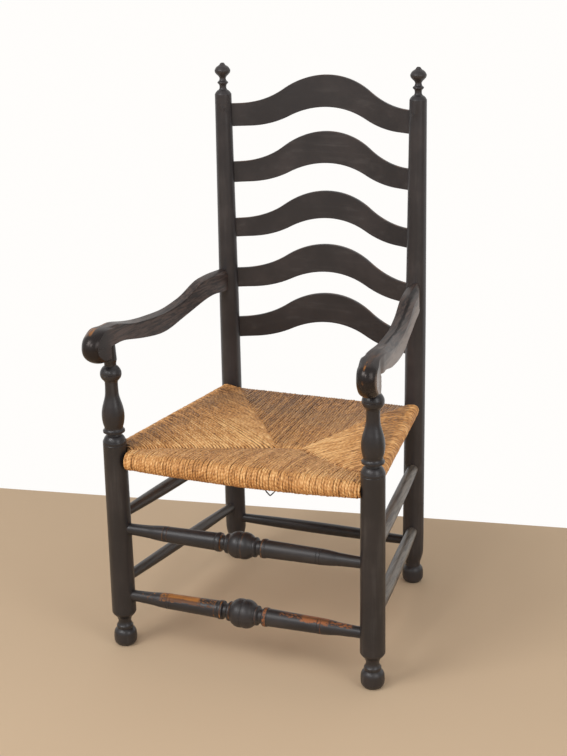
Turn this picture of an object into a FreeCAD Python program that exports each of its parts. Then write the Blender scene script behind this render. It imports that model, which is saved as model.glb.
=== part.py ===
import FreeCAD, Part
import math
import os
from collections import namedtuple
import Sketcher
from FreeCAD import Placement, Rotation, Vector

# A great chair: a ladder-back armchair with turned posts, five bowed slats, shaped arms and a rush seat.
# Millimetres. +Z is up, the chair faces -Y, +X is to the right of someone who looks at its front.
# The origin is on the floor, in the middle of the chair's width and depth.

SIZES = {
    # Plan of the chair, between the axes of the posts
    "front_width": 556,
    "rear_width": 445,
    "seat_depth": 489,
    # Front posts: foot, ankle, shaft, and the turned arm support above the shoulder
    "foot_height": 38,
    "foot_radius": 24.6,
    "ankle_height": 15.5,
    "ankle_flare": 24,
    "front_shaft_radius": 25.8,
    "front_neck_radius": 24.4,
    "front_shoulder": 463,
    "arm_base_height": 670,
    "arm_tenon_radius": 9,
    "arm_tenon_length": 25,
    # Rear posts: foot, tapering shaft, and the finial
    "rear_foot_height": 40,
    "rear_foot_radius": 24.2,
    "rear_ankle_flare": 62,
    "rear_shaft_radius": 24.1,
    "rear_middle_radius": 22.4,
    "rear_middle_height": 642,
    "rear_neck_radius": 18.4,
    "rear_shoulder": 1111,
    "finial_height": 69,
    # Scribed lines and joints
    "scribe_width": 1.8,
    "scribe_depth": 0.7,
    "scribe_drop": 4,
    "tenon_stop": 8.5,
    "tenon_length": 20,
    "joint_clearance": 0.1,
    "cut_overrun": 6,
    # Slats, bent back into an arc between the rear posts
    "slat_bow": 66,
    "slat_thickness": 8,
    "slat_edge_chamfer": 1.2,
    "slat_tenon_stop": 2,
    "crest_reach": 194,
    "arch_reach": 172,
    "slat_1_base": 1039.6,
    "slat_1_end": 50.1,
    "slat_1_crest": 62.5,
    "slat_1_arch": 42.5,
    "slat_1_droop": 1.5,
    "slat_2_base": 916.6,
    "slat_2_end": 46.2,
    "slat_2_crest": 66.4,
    "slat_2_arch": 41.8,
    "slat_2_droop": -0.8,
    "slat_3_base": 790.6,
    "slat_3_end": 42.5,
    "slat_3_crest": 62.8,
    "slat_3_arch": 43.2,
    "slat_3_droop": 0.4,
    "slat_4_base": 669.1,
    "slat_4_end": 44.9,
    "slat_4_crest": 59.7,
    "slat_4_arch": 40.2,
    "slat_4_droop": 4.6,
    "slat_5_base": 551.1,
    "slat_5_end": 47.7,
    "slat_5_crest": 60.1,
    "slat_5_arch": 39,
    "slat_5_droop": 3.4,
    "peg_radius": 3,
    "peg_inset": 6,
    "peg_drop": 8,
    "peg_stand": 0.8,
    "peg_length": 30,
    # Front stretchers
    "front_upper_height": 270,
    "front_upper_ball": 27.2,
    "front_lower_height": 116,
    "front_lower_ball": 29.4,
    "front_rung_radius": 18.5,
    "front_rung_end": 12,
    # Plain rungs: heights at the front and rear posts, swell at the middle and radius at the ends
    "left_upper_front": 296,
    "left_upper_rear": 286,
    "left_upper_radius": 14.2,
    "left_lower_front": 148,
    "left_lower_rear": 131.5,
    "left_lower_radius": 12.6,
    "right_upper_front": 296,
    "right_upper_rear": 286,
    "right_upper_radius": 14,
    "right_lower_front": 148,
    "right_lower_rear": 131.5,
    "right_lower_radius": 14.8,
    "rear_rung_height": 100,
    "rear_rung_radius": 13.6,
    "left_rung_end": 10.5,
    "right_rung_end": 12,
    "rear_rung_end": 10.5,
    # Seat rails, hidden in the rush
    "front_rail_height": 425,
    "side_rail_front": 439,
    "side_rail_rear": 433,
    "rear_rail_height": 414,
    "rail_radius": 10.5,
    "rail_end": 7.4,
    # Rush seat: the rolls round the rails and the web between them
    "front_roll_radius": 21,
    "front_roll_forward": 5,
    "side_roll_radius": 14,
    "rear_roll_radius": 14,
    "web_thickness": 24,
    "web_height": 434,
    "rush_clearance": 0.3,
    # Arms: a shaped rail from the rear post to a turned-down grip in front of the front post
    "arm_width": 36,
    "arm_height": 36,
    "arm_crown_radius": 150,
    "arm_tenon_stop": 6,
    "arm_mortise_width": 12,
    "arm_mortise_height": 34,
    "arm_mortise_rise": 9,
    "grip_width": 39,
    "grip_reach": 81,
    "grip_turn_forward": 14,
    "grip_turn_drop": 10,
}


class Size:
    """A length and the sheet expression that gives it."""

    def __init__(self, value, text):
        self.value = value
        self.text = text

    def __add__(self, other):
        other = as_size(other)
        return Size(self.value + other.value, f"({self.text} + {other.text})")

    def __sub__(self, other):
        other = as_size(other)
        return Size(self.value - other.value, f"({self.text} - {other.text})")

    def __mul__(self, other):
        other = as_size(other)
        return Size(self.value * other.value, f"({self.text} * {other.text})")

    def __truediv__(self, other):
        other = as_size(other)
        return Size(self.value / other.value, f"({self.text} / {other.text})")

    def __neg__(self):
        return Size(-self.value, f"(0 - {self.text})")

    def __rmul__(self, other):
        return as_size(other) * self

    def __radd__(self, other):
        return as_size(other) + self


def as_size(value):
    """A plain number as a Size."""
    return value if isinstance(value, Size) else Size(float(value), f"{value:.6g}")


def root(area):
    """The square root of a Size."""
    return Size(math.sqrt(area.value), f"sqrt({area.text})")


def slope_angle(rise, run):
    """The angle, in degrees, whose tangent is rise over run."""
    return Size(math.degrees(math.atan2(rise.value, run.value)), f"(atan({rise.text} / {run.text}) / 1 deg)")


ZERO = Size(0.0, "0")


def make_sheet():
    """Write the driving sizes into a spreadsheet, one named cell each."""
    table = doc.addObject("Spreadsheet::Sheet", "sizes")
    for row, (name, value) in enumerate(SIZES.items(), start=1):
        table.set(f"A{row}", name)
        table.set(f"B{row}", str(value))
        table.setAlias(f"B{row}", name)
    doc.recompute()
    return table


def size(name):
    """The driving size of that name."""
    return Size(float(sheet.get(name)), f"sizes.{name}")


def bind(item, **values):
    """Drive properties of an object from the sheet."""
    for name, value in values.items():
        setattr(item, name, value.value)
        item.setExpression(name, value.text)


def place(item, x, y, z, axis=(ZERO, ZERO, Size(1.0, "1")), angle=ZERO):
    """Put an object at a point, turned about an axis, both driven from the sheet."""
    turn = Rotation(Vector(axis[0].value, axis[1].value, axis[2].value), angle.value)
    item.Placement = Placement(Vector(x.value, y.value, z.value), turn)
    for letter, value in zip("xyz", (x, y, z)):
        item.setExpression(f"Placement.Base.{letter}", value.text)
    if angle is not ZERO:
        for letter, value in zip("xyz", axis):
            item.setExpression(f"Placement.Rotation.Axis.{letter}", value.text)
        item.setExpression("Placement.Rotation.Angle", angle.text)


def origin_plane(body, role):
    """A body's own origin plane."""
    return next(plane for plane in body.Origin.OriginFeatures if plane.Role == role)


def arc_radius(start, end, bulge):
    """The radius of an arc between two points that bulges by a given height."""
    across = end[0] - start[0]
    rise = end[1] - start[1]
    return (across * across + rise * rise + 4 * bulge * bulge) / (8 * bulge)


def draw_outline(sketch, points):
    """Draw a closed outline, anticlockwise, with every corner and arc driven from the sheet.

    Each point is (x, y, radius, side): the radius of the arc that ends there, or None for a line,
    and 1 where that arc bulges out of the outline or -1 where it hollows into it.
    """
    first = sketch.GeometryCount
    edges = []
    ends = []
    previous = points[-1]
    for point in points:
        start = Vector(previous[0].value, previous[1].value, 0)
        end = Vector(point[0].value, point[1].value, 0)
        if point[2] is None:
            edges.append(Part.LineSegment(start, end))
        else:
            chord = end - start
            radius = point[2].value
            bulge = radius - math.sqrt(radius * radius - chord.Length * chord.Length / 4)
            outward = Vector(chord.y, -chord.x, 0).normalize()
            edges.append(Part.ArcOfCircle(start, (start + end) / 2 + outward * bulge * point[3], end))
        ends.append(end)
        previous = point
    sketch.addGeometry(edges, False)
    tails = []
    for index, end in enumerate(ends):
        gap_1 = (sketch.getPoint(first + index, 1) - end).Length
        gap_2 = (sketch.getPoint(first + index, 2) - end).Length
        tails.append(1 if gap_1 < gap_2 else 2)
    for index, point in enumerate(points):
        edge = first + index
        after = (index + 1) % len(points)
        sketch.addConstraint(
            Sketcher.Constraint("Coincident", edge, tails[index], first + after, 3 - tails[after]))
        for kind, axis_id, value in (("DistanceX", -2, point[0]), ("DistanceY", -1, point[1])):
            if value is ZERO:
                sketch.addConstraint(Sketcher.Constraint("PointOnObject", edge, tails[index], axis_id))
            else:
                drive(sketch, Sketcher.Constraint(kind, -1, 1, edge, tails[index], value.value), value)
        if point[2] is not None:
            drive(sketch, Sketcher.Constraint("Radius", edge, point[2].value), point[2])


def drive(sketch, constraint, value):
    """Add a constraint whose length is driven from the sheet."""
    number = sketch.addConstraint(constraint)
    sketch.setExpression(f"Constraints[{number}]", value.text)


def body_sketch(body, name, role, *outlines):
    """A sketch with closed outlines on one of a body's origin planes."""
    sketch = body.newObject("Sketcher::SketchObject", name)
    sketch.AttachmentSupport = (origin_plane(body, role), [""])
    sketch.MapMode = "FlatFace"
    for points in outlines:
        draw_outline(sketch, points)
    return sketch


def turned(name, stations):
    """A body turned about its own Z axis from stations (height, radius, bulge) up its side.

    The bulge is the height of the arc that ends at the station: positive for a bead,
    negative for a hollow, None for a straight side.
    """
    body = doc.addObject("PartDesign::Body", name)
    points = [(ZERO, stations[0][0], None, 1)]
    for height, radius, bulge in stations:
        if bulge is None:
            points.append((radius, height, None, 1))
        else:
            side = 1 if bulge.value > 0 else -1
            points.append((radius, height, arc_radius(points[-1], (radius, height), side * bulge), side))
    points.append((ZERO, stations[-1][0], None, 1))
    lathe = body.newObject("PartDesign::Revolution", f"{name}_lathe")
    lathe.Profile = body_sketch(body, f"{name}_outline", "XZ_Plane", points)
    lathe.ReferenceAxis = (lathe.Profile[0], ["V_Axis"])
    lathe.Angle = 360
    return body


def padded(name, role, points, length, kind="One side"):
    """A body extruded from a closed outline."""
    body = doc.addObject("PartDesign::Body", name)
    pad = body.newObject("PartDesign::Pad", f"{name}_pad")
    pad.Profile = body_sketch(body, f"{name}_outline", role, points)
    pad.SideType = kind
    bind(pad, Length=length)
    return body


def cut(name, base, tools, group_kind="Part::Compound"):
    """An object with cutting tools taken out of it; tools that overlap need a Part::MultiFuse."""
    tool = tools[0]
    if len(tools) > 1:
        tool = doc.addObject(group_kind, f"{name}_cuts")
        setattr(tool, "Links" if group_kind == "Part::Compound" else "Shapes", tools)
    result = doc.addObject("Part::Cut", name)
    result.Base = base
    result.Tool = tool
    return result


def scribed(height, radius):
    """Stations of a thin scribed line round a turning."""
    half = size("scribe_width") / 2
    return [
        (height - half, radius, None),
        (height, radius - size("scribe_depth"), None),
        (height + half, radius, None),
    ]


def shaped(table, base, length, radius):
    """Stations from a table of (height share, radius share, bulge share)."""
    stations = []
    for height_share, radius_share, bulge_share in table:
        bulge = bulge_share * radius if bulge_share else None
        height = base + height_share * length if height_share else base
        stations.append((height, radius_share * radius, bulge))
    return stations


# Turnings: each row is a share of the turning's height, of its main radius, and of that radius again
FOOT_SHARES = (
    (0.0, 0.62, 0),
    (0.09, 0.84, 0.035),
    (0.28, 0.985, 0.03),
    (0.68, 0.98, 0.02),
    (1.0, 0.70, 0.07),
)
ANKLE_SHARES = (
    (0.12, 0.68, 0),
    (0.45, 0.68, 0.01),
    (1.0, 0.53, -0.03),
)
FLARE_SHARES = (
    (0.26, 0.57, -0.01),
    (0.50, 0.675, -0.012),
    (0.71, 0.84, 0),
    (0.90, 0.965, 0.012),
    (1.0, 1.0, 0.004),
)
REAR_FLARE_SHARES = (
    (0.2, 0.736, -0.02),
    (0.6, 0.98, 0.04),
    (1.0, 1.0, 0),
)
SUPPORT_SHARES = (
    (0.017, 0.965, 0.006),
    (0.0195, 0.935, 0),
    (0.0725, 0.63, 0.05),
    (0.087, 0.60, 0),
    (0.1005, 0.86, -0.03),
    (0.106, 0.925, 0),
    (0.1246, 0.925, 0.006),
    (0.147, 0.79, -0.025),
    (0.164, 0.80, 0),
    (0.2077, 0.905, 0.012),
    (0.290, 0.955, 0.02),
    (0.382, 0.83, 0.022),
    (0.449, 0.665, 0),
    (0.517, 0.565, -0.018),
    (0.580, 0.545, 0),
    (0.6256, 0.55, 0),
    (0.633, 0.59, 0),
    (0.6425, 0.62, 0.004),
    (0.6715, 0.83, 0.02),
    (0.703, 0.898, 0.015),
    (0.707, 0.870, 0),
    (0.711, 0.898, 0),
    (0.744, 0.835, 0.017),
    (0.790, 0.51, 0.04),
    (0.802, 0.50, 0),
    (0.850, 0.575, -0.02),
)
STEM_TOP_SHARE = 0.49
FINIAL_SHARES = (
    (0.03, 0.975, 0.01),
    (0.13, 0.69, 0.03),
    (0.217, 0.41, -0.06),
    (0.26, 0.41, 0),
    (0.35, 0.59, -0.05),
    (0.38, 0.65, 0.01),
    (0.41, 0.59, 0.01),
    (0.49, 0.395, -0.05),
    (0.535, 0.40, -0.02),
    (0.60, 0.58, -0.02),
    (0.67, 0.83, 0.01),
    (0.74, 0.935, 0.025),
    (0.79, 0.91, 0.02),
    (0.90, 0.55, 0.05),
    (0.955, 0.30, -0.02),
    (0.985, 0.21, 0.02),
    (1.0, 0.12, 0.02),
)
# Half of a front stretcher, from its middle outwards
BALL_LINE_SHARE = 0.004
BALL_SHARES = (
    (0.088, 0.75, 0.12),
)
COLLAR_SHARES = (
    (0.097, 1.07, 0),
    (0.118, 1.08, 0.05),
    (0.130, 0.84, 0),
    (0.152, 0.83, -0.01),
    (0.160, 1.04, 0),
    (0.194, 1.06, 0.04),
    (0.200, 0.99, 0),
    (0.206, 1.0, 0),
)
RUNG_SHARES = (
    (0.58, 0.90, 0),
)
RUNG_TAPER_SHARES = (
    (0.655, 0.865, 0),
    (0.74, 0.735, 0.01),
)
RUNG_LINE_SHARES = (0.588, 0.614)
RUNG_FOOT_SHARE = 0.88
RUNG_HOLLOW_SHARE = -0.01


def front_post(name, side):
    """The turning of a front post, from the floor to the tenon that goes into the arm."""
    top = size("foot_height")
    ankle = size("ankle_height")
    shaft = size("front_shaft_radius")
    neck = size("front_neck_radius")
    shoulder = size("front_shoulder")
    seat = arm_seat(side)
    tenon = size("arm_tenon_radius")
    stations = shaped(FOOT_SHARES, ZERO, top, size("foot_radius"))
    stations += shaped(ANKLE_SHARES, top, ankle, shaft)
    stations += shaped(FLARE_SHARES, top + ankle, size("ankle_flare"), shaft)
    stations += scribed(shoulder - size("scribe_drop"), neck)
    stations.append((shoulder, neck, None))
    stations += shaped(SUPPORT_SHARES, shoulder, size("arm_base_height") - shoulder, neck)
    stations.append((seat, STEM_TOP_SHARE * neck, None))
    stations.append((seat, tenon, None))
    stations.append((seat + size("arm_tenon_length"), tenon, None))
    return turned(name, stations)


def rear_post(name):
    """The turning of a rear post, from the floor to the tip of the finial."""
    top = size("rear_foot_height")
    shaft = size("rear_shaft_radius")
    neck = size("rear_neck_radius")
    shoulder = size("rear_shoulder")
    stations = shaped(FOOT_SHARES, ZERO, top, size("rear_foot_radius"))
    stations += shaped(REAR_FLARE_SHARES, top, size("rear_ankle_flare"), shaft)
    stations.append((size("rear_middle_height"), size("rear_middle_radius"), None))
    stations.append((shoulder, neck, None))
    stations += shaped(FINIAL_SHARES, shoulder, size("finial_height"), neck)
    return turned(name, stations)


def turned_both_ways(name, half):
    """A turning that is the same both ways from its middle, from the stations of its upper half."""
    stations = []
    for index in range(len(half) - 1, 0, -1):
        height, radius, _ = half[index]
        outer = half[index + 1][2] if index + 1 < len(half) else None
        stations.append((-height, radius, outer))
    stations.append((ZERO, half[0][1], half[1][2]))
    return turned(name, stations + half[1:])


def front_stretcher(name, ball, span):
    """A front stretcher turned with a ball between two collars."""
    half_span = span / 2
    rung = size("front_rung_radius")
    end = size("front_rung_end")
    half = [(ZERO, ball - size("scribe_depth"), None), (BALL_LINE_SHARE * half_span, ball, None)]
    half += shaped(BALL_SHARES, ZERO, half_span, ball)
    half += shaped(COLLAR_SHARES, ZERO, half_span, rung)
    half += shaped(RUNG_SHARES, ZERO, half_span, rung)
    for share in RUNG_LINE_SHARES:
        half += scribed(share * half_span, RUNG_SHARES[-1][1] * rung)
    half += shaped(RUNG_TAPER_SHARES, ZERO, half_span, rung)
    half.append((RUNG_FOOT_SHARE * half_span, end, RUNG_HOLLOW_SHARE * rung))
    half.append((half_span - size("tenon_stop"), end, None))
    return turned_both_ways(name, half)


def plain_rung(name, span, radius, end):
    """A plain rung with a gentle swell between its straight ends."""
    half = span / 2 - size("tenon_stop")
    swell = half - size("tenon_length")
    return turned(name, [
        (-half, end, None),
        (-swell, end, None),
        (swell, end, radius - end),
        (half, end, None),
    ])


def seat_rail(name, span):
    """A round seat rail."""
    return plain_rung(name, span, size("rail_radius"), size("rail_end"))


def direction(start, end):
    """The way from one point to another, as three sizes, and its length."""
    way = [end[axis] - start[axis] for axis in range(3)]
    return way, root(way[0] * way[0] + way[1] * way[1] + way[2] * way[2])


def along(item, start, way, span, offset):
    """Put an object's own Z axis on a line from a point, an offset along it."""
    point = [start[axis] + way[axis] * offset / span for axis in range(3)]
    cosine = way[2] / span
    angle = Size(math.degrees(math.acos(cosine.value)), f"(acos({cosine.text}) / 1 deg)")
    place(item, point[0], point[1], point[2], (-way[1], way[0], ZERO), angle)


def socket(post, start, way, span, radius):
    """A round socket in a post for the end of a rung."""
    hole = doc.addObject("Part::Cylinder", f"{post}_socket_{len(sockets[post]) + 1}")
    slack = size("joint_clearance")
    begin = size("tenon_stop") - slack
    bind(hole, Radius=radius + slack, Height=size("front_shaft_radius") + size("cut_overrun") - begin)
    along(hole, start, way, span, begin)
    sockets[post].append(hole)


def fit_between(name, posts, heights, end_radius, build):
    """Build a rung between two posts, with a socket in each for its ends."""
    start = (*POSTS[posts[0]], size(heights[0]))
    end = (*POSTS[posts[1]], size(heights[1]))
    way, span = direction(start, end)
    rung = build(name, span)
    along(rung, start, way, span, span / 2)
    socket(posts[0], start, way, span, end_radius)
    socket(posts[1], end, [-part for part in way], span, end_radius)
    return rung


def make_front_stretchers():
    """The two turned stretchers between the front posts."""
    for level in ("upper", "lower"):
        ball = size(f"front_{level}_ball")
        height = f"front_{level}_height"
        nodes[f"front_stretcher_{level}"] = fit_between(
            f"front_stretcher_{level}", FRONT, (height, height), size("front_rung_end"),
            lambda name, span: front_stretcher(name, ball, span))


def make_plain_stretchers():
    """The plain stretchers at the sides and the back."""
    for side in ("left", "right"):
        end = size(f"{side}_rung_end")
        for level in ("upper", "lower"):
            key = f"{side}_{level}"
            radius = size(f"{key}_radius")
            nodes[f"side_stretcher_{key}"] = fit_between(
                f"side_stretcher_{key}", SIDES[side], (f"{key}_front", f"{key}_rear"), end,
                lambda name, span: plain_rung(name, span, radius, end))
    nodes["rear_stretcher"] = fit_between(
        "rear_stretcher", REAR, ("rear_rung_height", "rear_rung_height"), size("rear_rung_end"),
        lambda name, span: plain_rung(name, span, size("rear_rung_radius"), size("rear_rung_end")))


RAILS = {
    "front": (("front_post_left", "front_post_right"), ("front_rail_height", "front_rail_height")),
    "rear": (("rear_post_left", "rear_post_right"), ("rear_rail_height", "rear_rail_height")),
    "left": (("front_post_left", "rear_post_left"), ("side_rail_front", "side_rail_rear")),
    "right": (("front_post_right", "rear_post_right"), ("side_rail_front", "side_rail_rear")),
}


def make_seat_rails():
    """The four rails that carry the rush seat."""
    for side, (posts, heights) in RAILS.items():
        nodes[f"seat_rail_{side}"] = fit_between(
            f"seat_rail_{side}", posts, heights, size("rail_end"), seat_rail)


ARCH_SHARE = 0.52


def swept_edge(half_length, rise, base, way):
    """An edge that sweeps up to a central arch and down again, in arcs that meet smoothly.

    way is 1 for a lower edge, drawn left to right, and -1 for an upper edge, drawn right to left.
    """
    both_radii = (half_length * half_length + rise * rise) / (2 * rise)
    middle_radius = ARCH_SHARE * both_radii
    side_radius = (1 - ARCH_SHARE) * both_radii
    turn_x = ARCH_SHARE * half_length
    turn_y = base + (1 - ARCH_SHARE) * rise
    return [
        (-way * half_length, base, None, 1),
        (-way * turn_x, turn_y, side_radius, way),
        (way * turn_x, turn_y, middle_radius, -way),
        (way * half_length, base, side_radius, way),
    ]


def slat_outline(number, grow):
    """The front view of a slat: level ends and an arched middle, above its bottom edge at the posts."""
    reach = rear_half + size("cut_overrun")
    top = size(f"slat_{number}_end") + grow
    points = [(-reach, -grow, None, 1)]
    points += swept_edge(size("arch_reach"), size(f"slat_{number}_arch"), -grow, 1)
    points += [(reach, -grow, None, 1), (reach, top, None, 1)]
    points += swept_edge(size("crest_reach"), size(f"slat_{number}_crest"), top, -1)
    points.append((-reach, top, None, 1))
    return points


def slat_plan(end, grow):
    """The plan of a slat: a band bent to the bow between the rear posts."""
    bow = size("slat_bow")
    radius = (rear_half * rear_half + bow * bow) / (2 * bow)
    outer = radius + size("slat_thickness") / 2 + grow
    inner = radius - size("slat_thickness") / 2 - grow
    outer_y = bow - radius + root(outer * outer - end * end)
    inner_y = bow - radius + root(inner * inner - end * end)
    return [
        (-end, inner_y, None, 1),
        (end, inner_y, inner, -1),
        (end, outer_y, None, 1),
        (-end, outer_y, outer, 1),
    ]


def slat_blank(name, number, grow):
    """A slat with square edges, or with grow the space that it needs in the posts."""
    end = rear_half - size("slat_tenon_stop") + grow
    height = size(f"slat_{number}_end") + size(f"slat_{number}_crest") + size("cut_overrun")
    body = padded(name, "XY_Plane", slat_plan(end, grow), 2 * height, "Symmetric")
    side = rear_half + 2 * size("cut_overrun")
    limit = height + size("cut_overrun")
    frame = [
        (-side, -limit, None, 1),
        (side, -limit, None, 1),
        (side, limit, None, 1),
        (-side, limit, None, 1),
    ]
    saw = body.newObject("PartDesign::Pocket", f"{name}_saw")
    saw.Profile = body_sketch(body, f"{name}_edges", "XZ_Plane", frame, slat_outline(number, grow))
    saw.SideType = "Symmetric"
    bind(saw, Length=2 * (size("slat_bow") + size("slat_thickness")))
    droop = slope_angle(size(f"slat_{number}_droop"), rear_half)
    place(body, ZERO, rear_line, size(f"slat_{number}_base"), (ZERO, as_size(1), ZERO), droop)
    return body


def ease_slat(body):
    """Take the sharpness off the long edges of a slat."""
    doc.recompute()
    saw = body.Tip
    names = []
    limit = rear_half.value - size("slat_tenon_stop").value - size("slat_thickness").value
    for number, edge in enumerate(saw.Shape.Edges, start=1):
        if edge.Length > 2 * size("slat_thickness").value and abs(edge.CenterOfMass.x) < limit:
            names.append(f"Edge{number}")
    chamfer = body.newObject("PartDesign::Chamfer", f"{body.Name}_chamfer")
    chamfer.Base = (saw, names)
    bind(chamfer, Size=size("slat_edge_chamfer"))


def make_slats():
    """The five slats, and the mortises for them in the rear posts."""
    for number in range(1, SLAT_COUNT + 1):
        name = f"slat_{number}"
        nodes[name] = slat_blank(name, number, ZERO)
        ease_slat(nodes[name])
        mortise = slat_blank(f"{name}_mortise", number, size("joint_clearance"))
        for post in REAR:
            sockets[post].append(mortise)


def peg(name, side, slack):
    """A pin along Y through a rear post and the top slat's tenon, or with slack the hole for it."""
    pin = doc.addObject("Part::Cylinder", name)
    bind(pin, Radius=size("peg_radius") + slack, Height=size("peg_length") + slack)
    x = side * (rear_half - size("peg_inset"))
    y = rear_line - size("rear_neck_radius") - size("peg_stand")
    z = size("slat_1_base") + size("slat_1_end") - size("peg_drop")
    place(pin, x, y, z, (as_size(1), ZERO, ZERO), as_size(-90))
    return pin


def make_pegs():
    """The pins that hold the top slat."""
    slack = size("joint_clearance")
    for side, word in ((-1, "left"), (1, "right")):
        nodes[f"slat_peg_{word}"] = peg(f"slat_peg_{word}", side, ZERO)
        peg_holes[f"rear_post_{word}"] = peg(f"peg_hole_{word}", side, slack)
    nodes["slat_1"] = cut("slat_1_bored", nodes["slat_1"], list(peg_holes.values()))


# Where an arm's underside sits on its front post, above the base height of the arms
ARM_SEAT_SHARES = {"left": 0.125, "right": 0.0}

# Arm sections from the rear post to the front post. Along the arm: place. As shares of its height,
# above the base height: under and top, and how far the outer bottom edge sags. As shares of its
# width: the inner side and its top's drop below the ridge, the inner edge of the top and its drop,
# the ridge, the outer shoulder and its drop, and the outer bottom edge
ArmSection = namedtuple(
    "ArmSection", "place under sag top inner eave crest fall ridge shoulder drop outer")
REAR_ARM_SHARES = (
    ArmSection(0.972, 0.05, 0.02, 1.39, -0.25, 0.32, -0.10, 0.02, 0.17, 0.28, 0.33, 0.29),
    ArmSection(0.925, 0.10, 0.02, 1.43, -0.28, 0.30, -0.15, 0.04, 0.19, 0.34, 0.36, 0.37),
    ArmSection(0.875, 0.17, 0.02, 1.46, -0.31, 0.19, -0.25, 0.07, 0.20, 0.43, 0.38, 0.49),
    ArmSection(0.813, 0.22, 0.02, 1.47, -0.31, 0.17, -0.28, 0.10, 0.21, 0.55, 0.39, 0.63),
    ArmSection(0.732, 0.12, 0.02, 1.41, -0.31, 0.17, -0.28, 0.10, 0.21, 0.56, 0.39, 0.66),
    ArmSection(0.650, -0.07, 0.02, 1.12, -0.31, 0.17, -0.28, 0.10, 0.21, 0.56, 0.39, 0.66),
    ArmSection(0.569, -0.26, 0.02, 0.80, -0.31, 0.17, -0.28, 0.10, 0.21, 0.56, 0.39, 0.66),
    ArmSection(0.488, -0.46, 0.02, 0.64, -0.31, 0.17, -0.28, 0.10, 0.21, 0.56, 0.39, 0.66),
    ArmSection(0.406, -0.61, 0.03, 0.57, -0.31, 0.17, -0.28, 0.10, 0.21, 0.56, 0.39, 0.66),
    ArmSection(0.325, -0.57, 0.06, 0.61, -0.32, 0.17, -0.29, 0.10, 0.22, 0.57, 0.38, 0.66),
)
FRONT_ARM_SHARES = {
    "left": (
        ArmSection(0.244, -0.41, 0.10, 0.68, -0.33, 0.16, -0.30, 0.09, 0.24, 0.58, 0.35, 0.66),
        ArmSection(0.163, -0.20, 0.12, 0.81, -0.36, 0.15, -0.32, 0.08, 0.28, 0.59, 0.30, 0.65),
        ArmSection(0.081, 0.04, 0.10, 1.04, -0.41, 0.14, -0.34, 0.05, 0.30, 0.59, 0.22, 0.63),
        ArmSection(0.026, 0.12, 0.04, 1.19, -0.47, 0.13, -0.34, 0.03, 0.28, 0.57, 0.15, 0.60),
        ArmSection(0.0, 0.125, 0.0, 1.21, -0.51, 0.12, -0.27, 0.02, 0.24, 0.54, 0.12, 0.55),
    ),
    "right": (
        ArmSection(0.244, -0.43, 0.12, 0.66, -0.33, 0.16, -0.30, 0.09, 0.24, 0.58, 0.35, 0.66),
        ArmSection(0.163, -0.26, 0.16, 0.76, -0.35, 0.15, -0.31, 0.08, 0.28, 0.59, 0.30, 0.65),
        ArmSection(0.081, -0.06, 0.14, 0.90, -0.39, 0.16, -0.31, 0.05, 0.30, 0.59, 0.22, 0.63),
        ArmSection(0.026, 0.0, 0.05, 0.99, -0.44, 0.17, -0.30, 0.03, 0.28, 0.57, 0.15, 0.60),
        ArmSection(0.0, 0.0, 0.0, 1.01, -0.48, 0.17, -0.25, 0.02, 0.24, 0.54, 0.12, 0.55),
    ),
}
# Grip sections, fanned about the hollow behind the grip: the turn in degrees, then the inner and
# outer reach and the radius of the domed face, as shares of the grip's reach past the hollow,
# and the width as a share of the grip's
GRIP_SHARES = {
    "left": (
        (18, 0.155, 0.775, 0.90, 0.97),
        (36, 0.140, 0.865, 0.52, 0.99),
        (57, 0.106, 0.980, 0.37, 1.0),
        (76, 0.093, 1.0, 0.32, 1.0),
        (90, 0.090, 0.93, 0.305, 1.0),
        (106, 0.093, 0.755, 0.31, 1.0),
        (128, 0.115, 0.525, 0.34, 1.0),
        (147, 0.165, 0.385, 0.42, 1.0),
        (160, 0.250, 0.330, 0.60, 1.0),
    ),
    "right": (
        (18, 0.155, 0.72, 0.55, 0.93),
        (36, 0.140, 0.80, 0.38, 0.96),
        (57, 0.106, 0.96, 0.32, 1.0),
        (76, 0.093, 1.0, 0.31, 1.0),
        (90, 0.090, 0.955, 0.305, 1.0),
        (106, 0.093, 0.84, 0.31, 1.0),
        (128, 0.115, 0.69, 0.34, 1.0),
        (147, 0.165, 0.56, 0.42, 1.0),
        (160, 0.260, 0.480, 0.60, 1.0),
    ),
}
DOME_SPLIT_SHARE = 0.36


def arm_seat(side):
    """The height at which an arm sits on its front post."""
    return size("arm_base_height") + ARM_SEAT_SHARES[side] * size("arm_height")


def arm_outline(shares):
    """A section of the arm: flat below, a nearly flat top to a ridge, and a broad outer bevel."""
    width = size("arm_width")
    rise = size("arm_height")
    crown = size("arm_crown_radius")
    under = size("arm_base_height") + shares.under * rise
    top = size("arm_base_height") + shares.top * rise
    return [
        (shares.inner * width, under, None, 1),
        (shares.outer * width, under - shares.sag * rise, None, 1),
        (shares.shoulder * width, top - shares.drop * width, None, 1),
        (shares.ridge * width, top, crown, 1),
        (shares.crest * width, top - shares.fall * width, crown, 1),
        (shares.inner * width, top - shares.eave * width, crown, 1),
    ]


def grip_outline(inner, outer, dome, half):
    """A section of the grip: flat sides and a domed face, outwards from the hollow behind it."""
    split = DOME_SPLIT_SHARE * half
    side = outer - dome + root(dome * dome - half * half)
    crest = outer - dome + root(dome * dome - split * split)
    return [
        (-half, inner, None, 1),
        (half, inner, None, 1),
        (half, side, None, 1),
        (split, crest, dome, 1),
        (-split, crest, dome, 1),
        (-half, side, dome, 1),
    ]


def section_sketch(body, number, points, height, forward, turn):
    """A section across the arm, at a height and a place forward of the front post, turned down."""
    sketch = body_sketch(body, f"{body.Name}_section_{number}", "XZ_Plane", points)
    offset = Vector(0, height.value, forward.value)
    sketch.AttachmentOffset = Placement(offset, Rotation(Vector(1, 0, 0), turn))
    sketch.setExpression("AttachmentOffset.Base.y", height.text)
    sketch.setExpression("AttachmentOffset.Base.z", forward.text)
    return sketch


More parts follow.
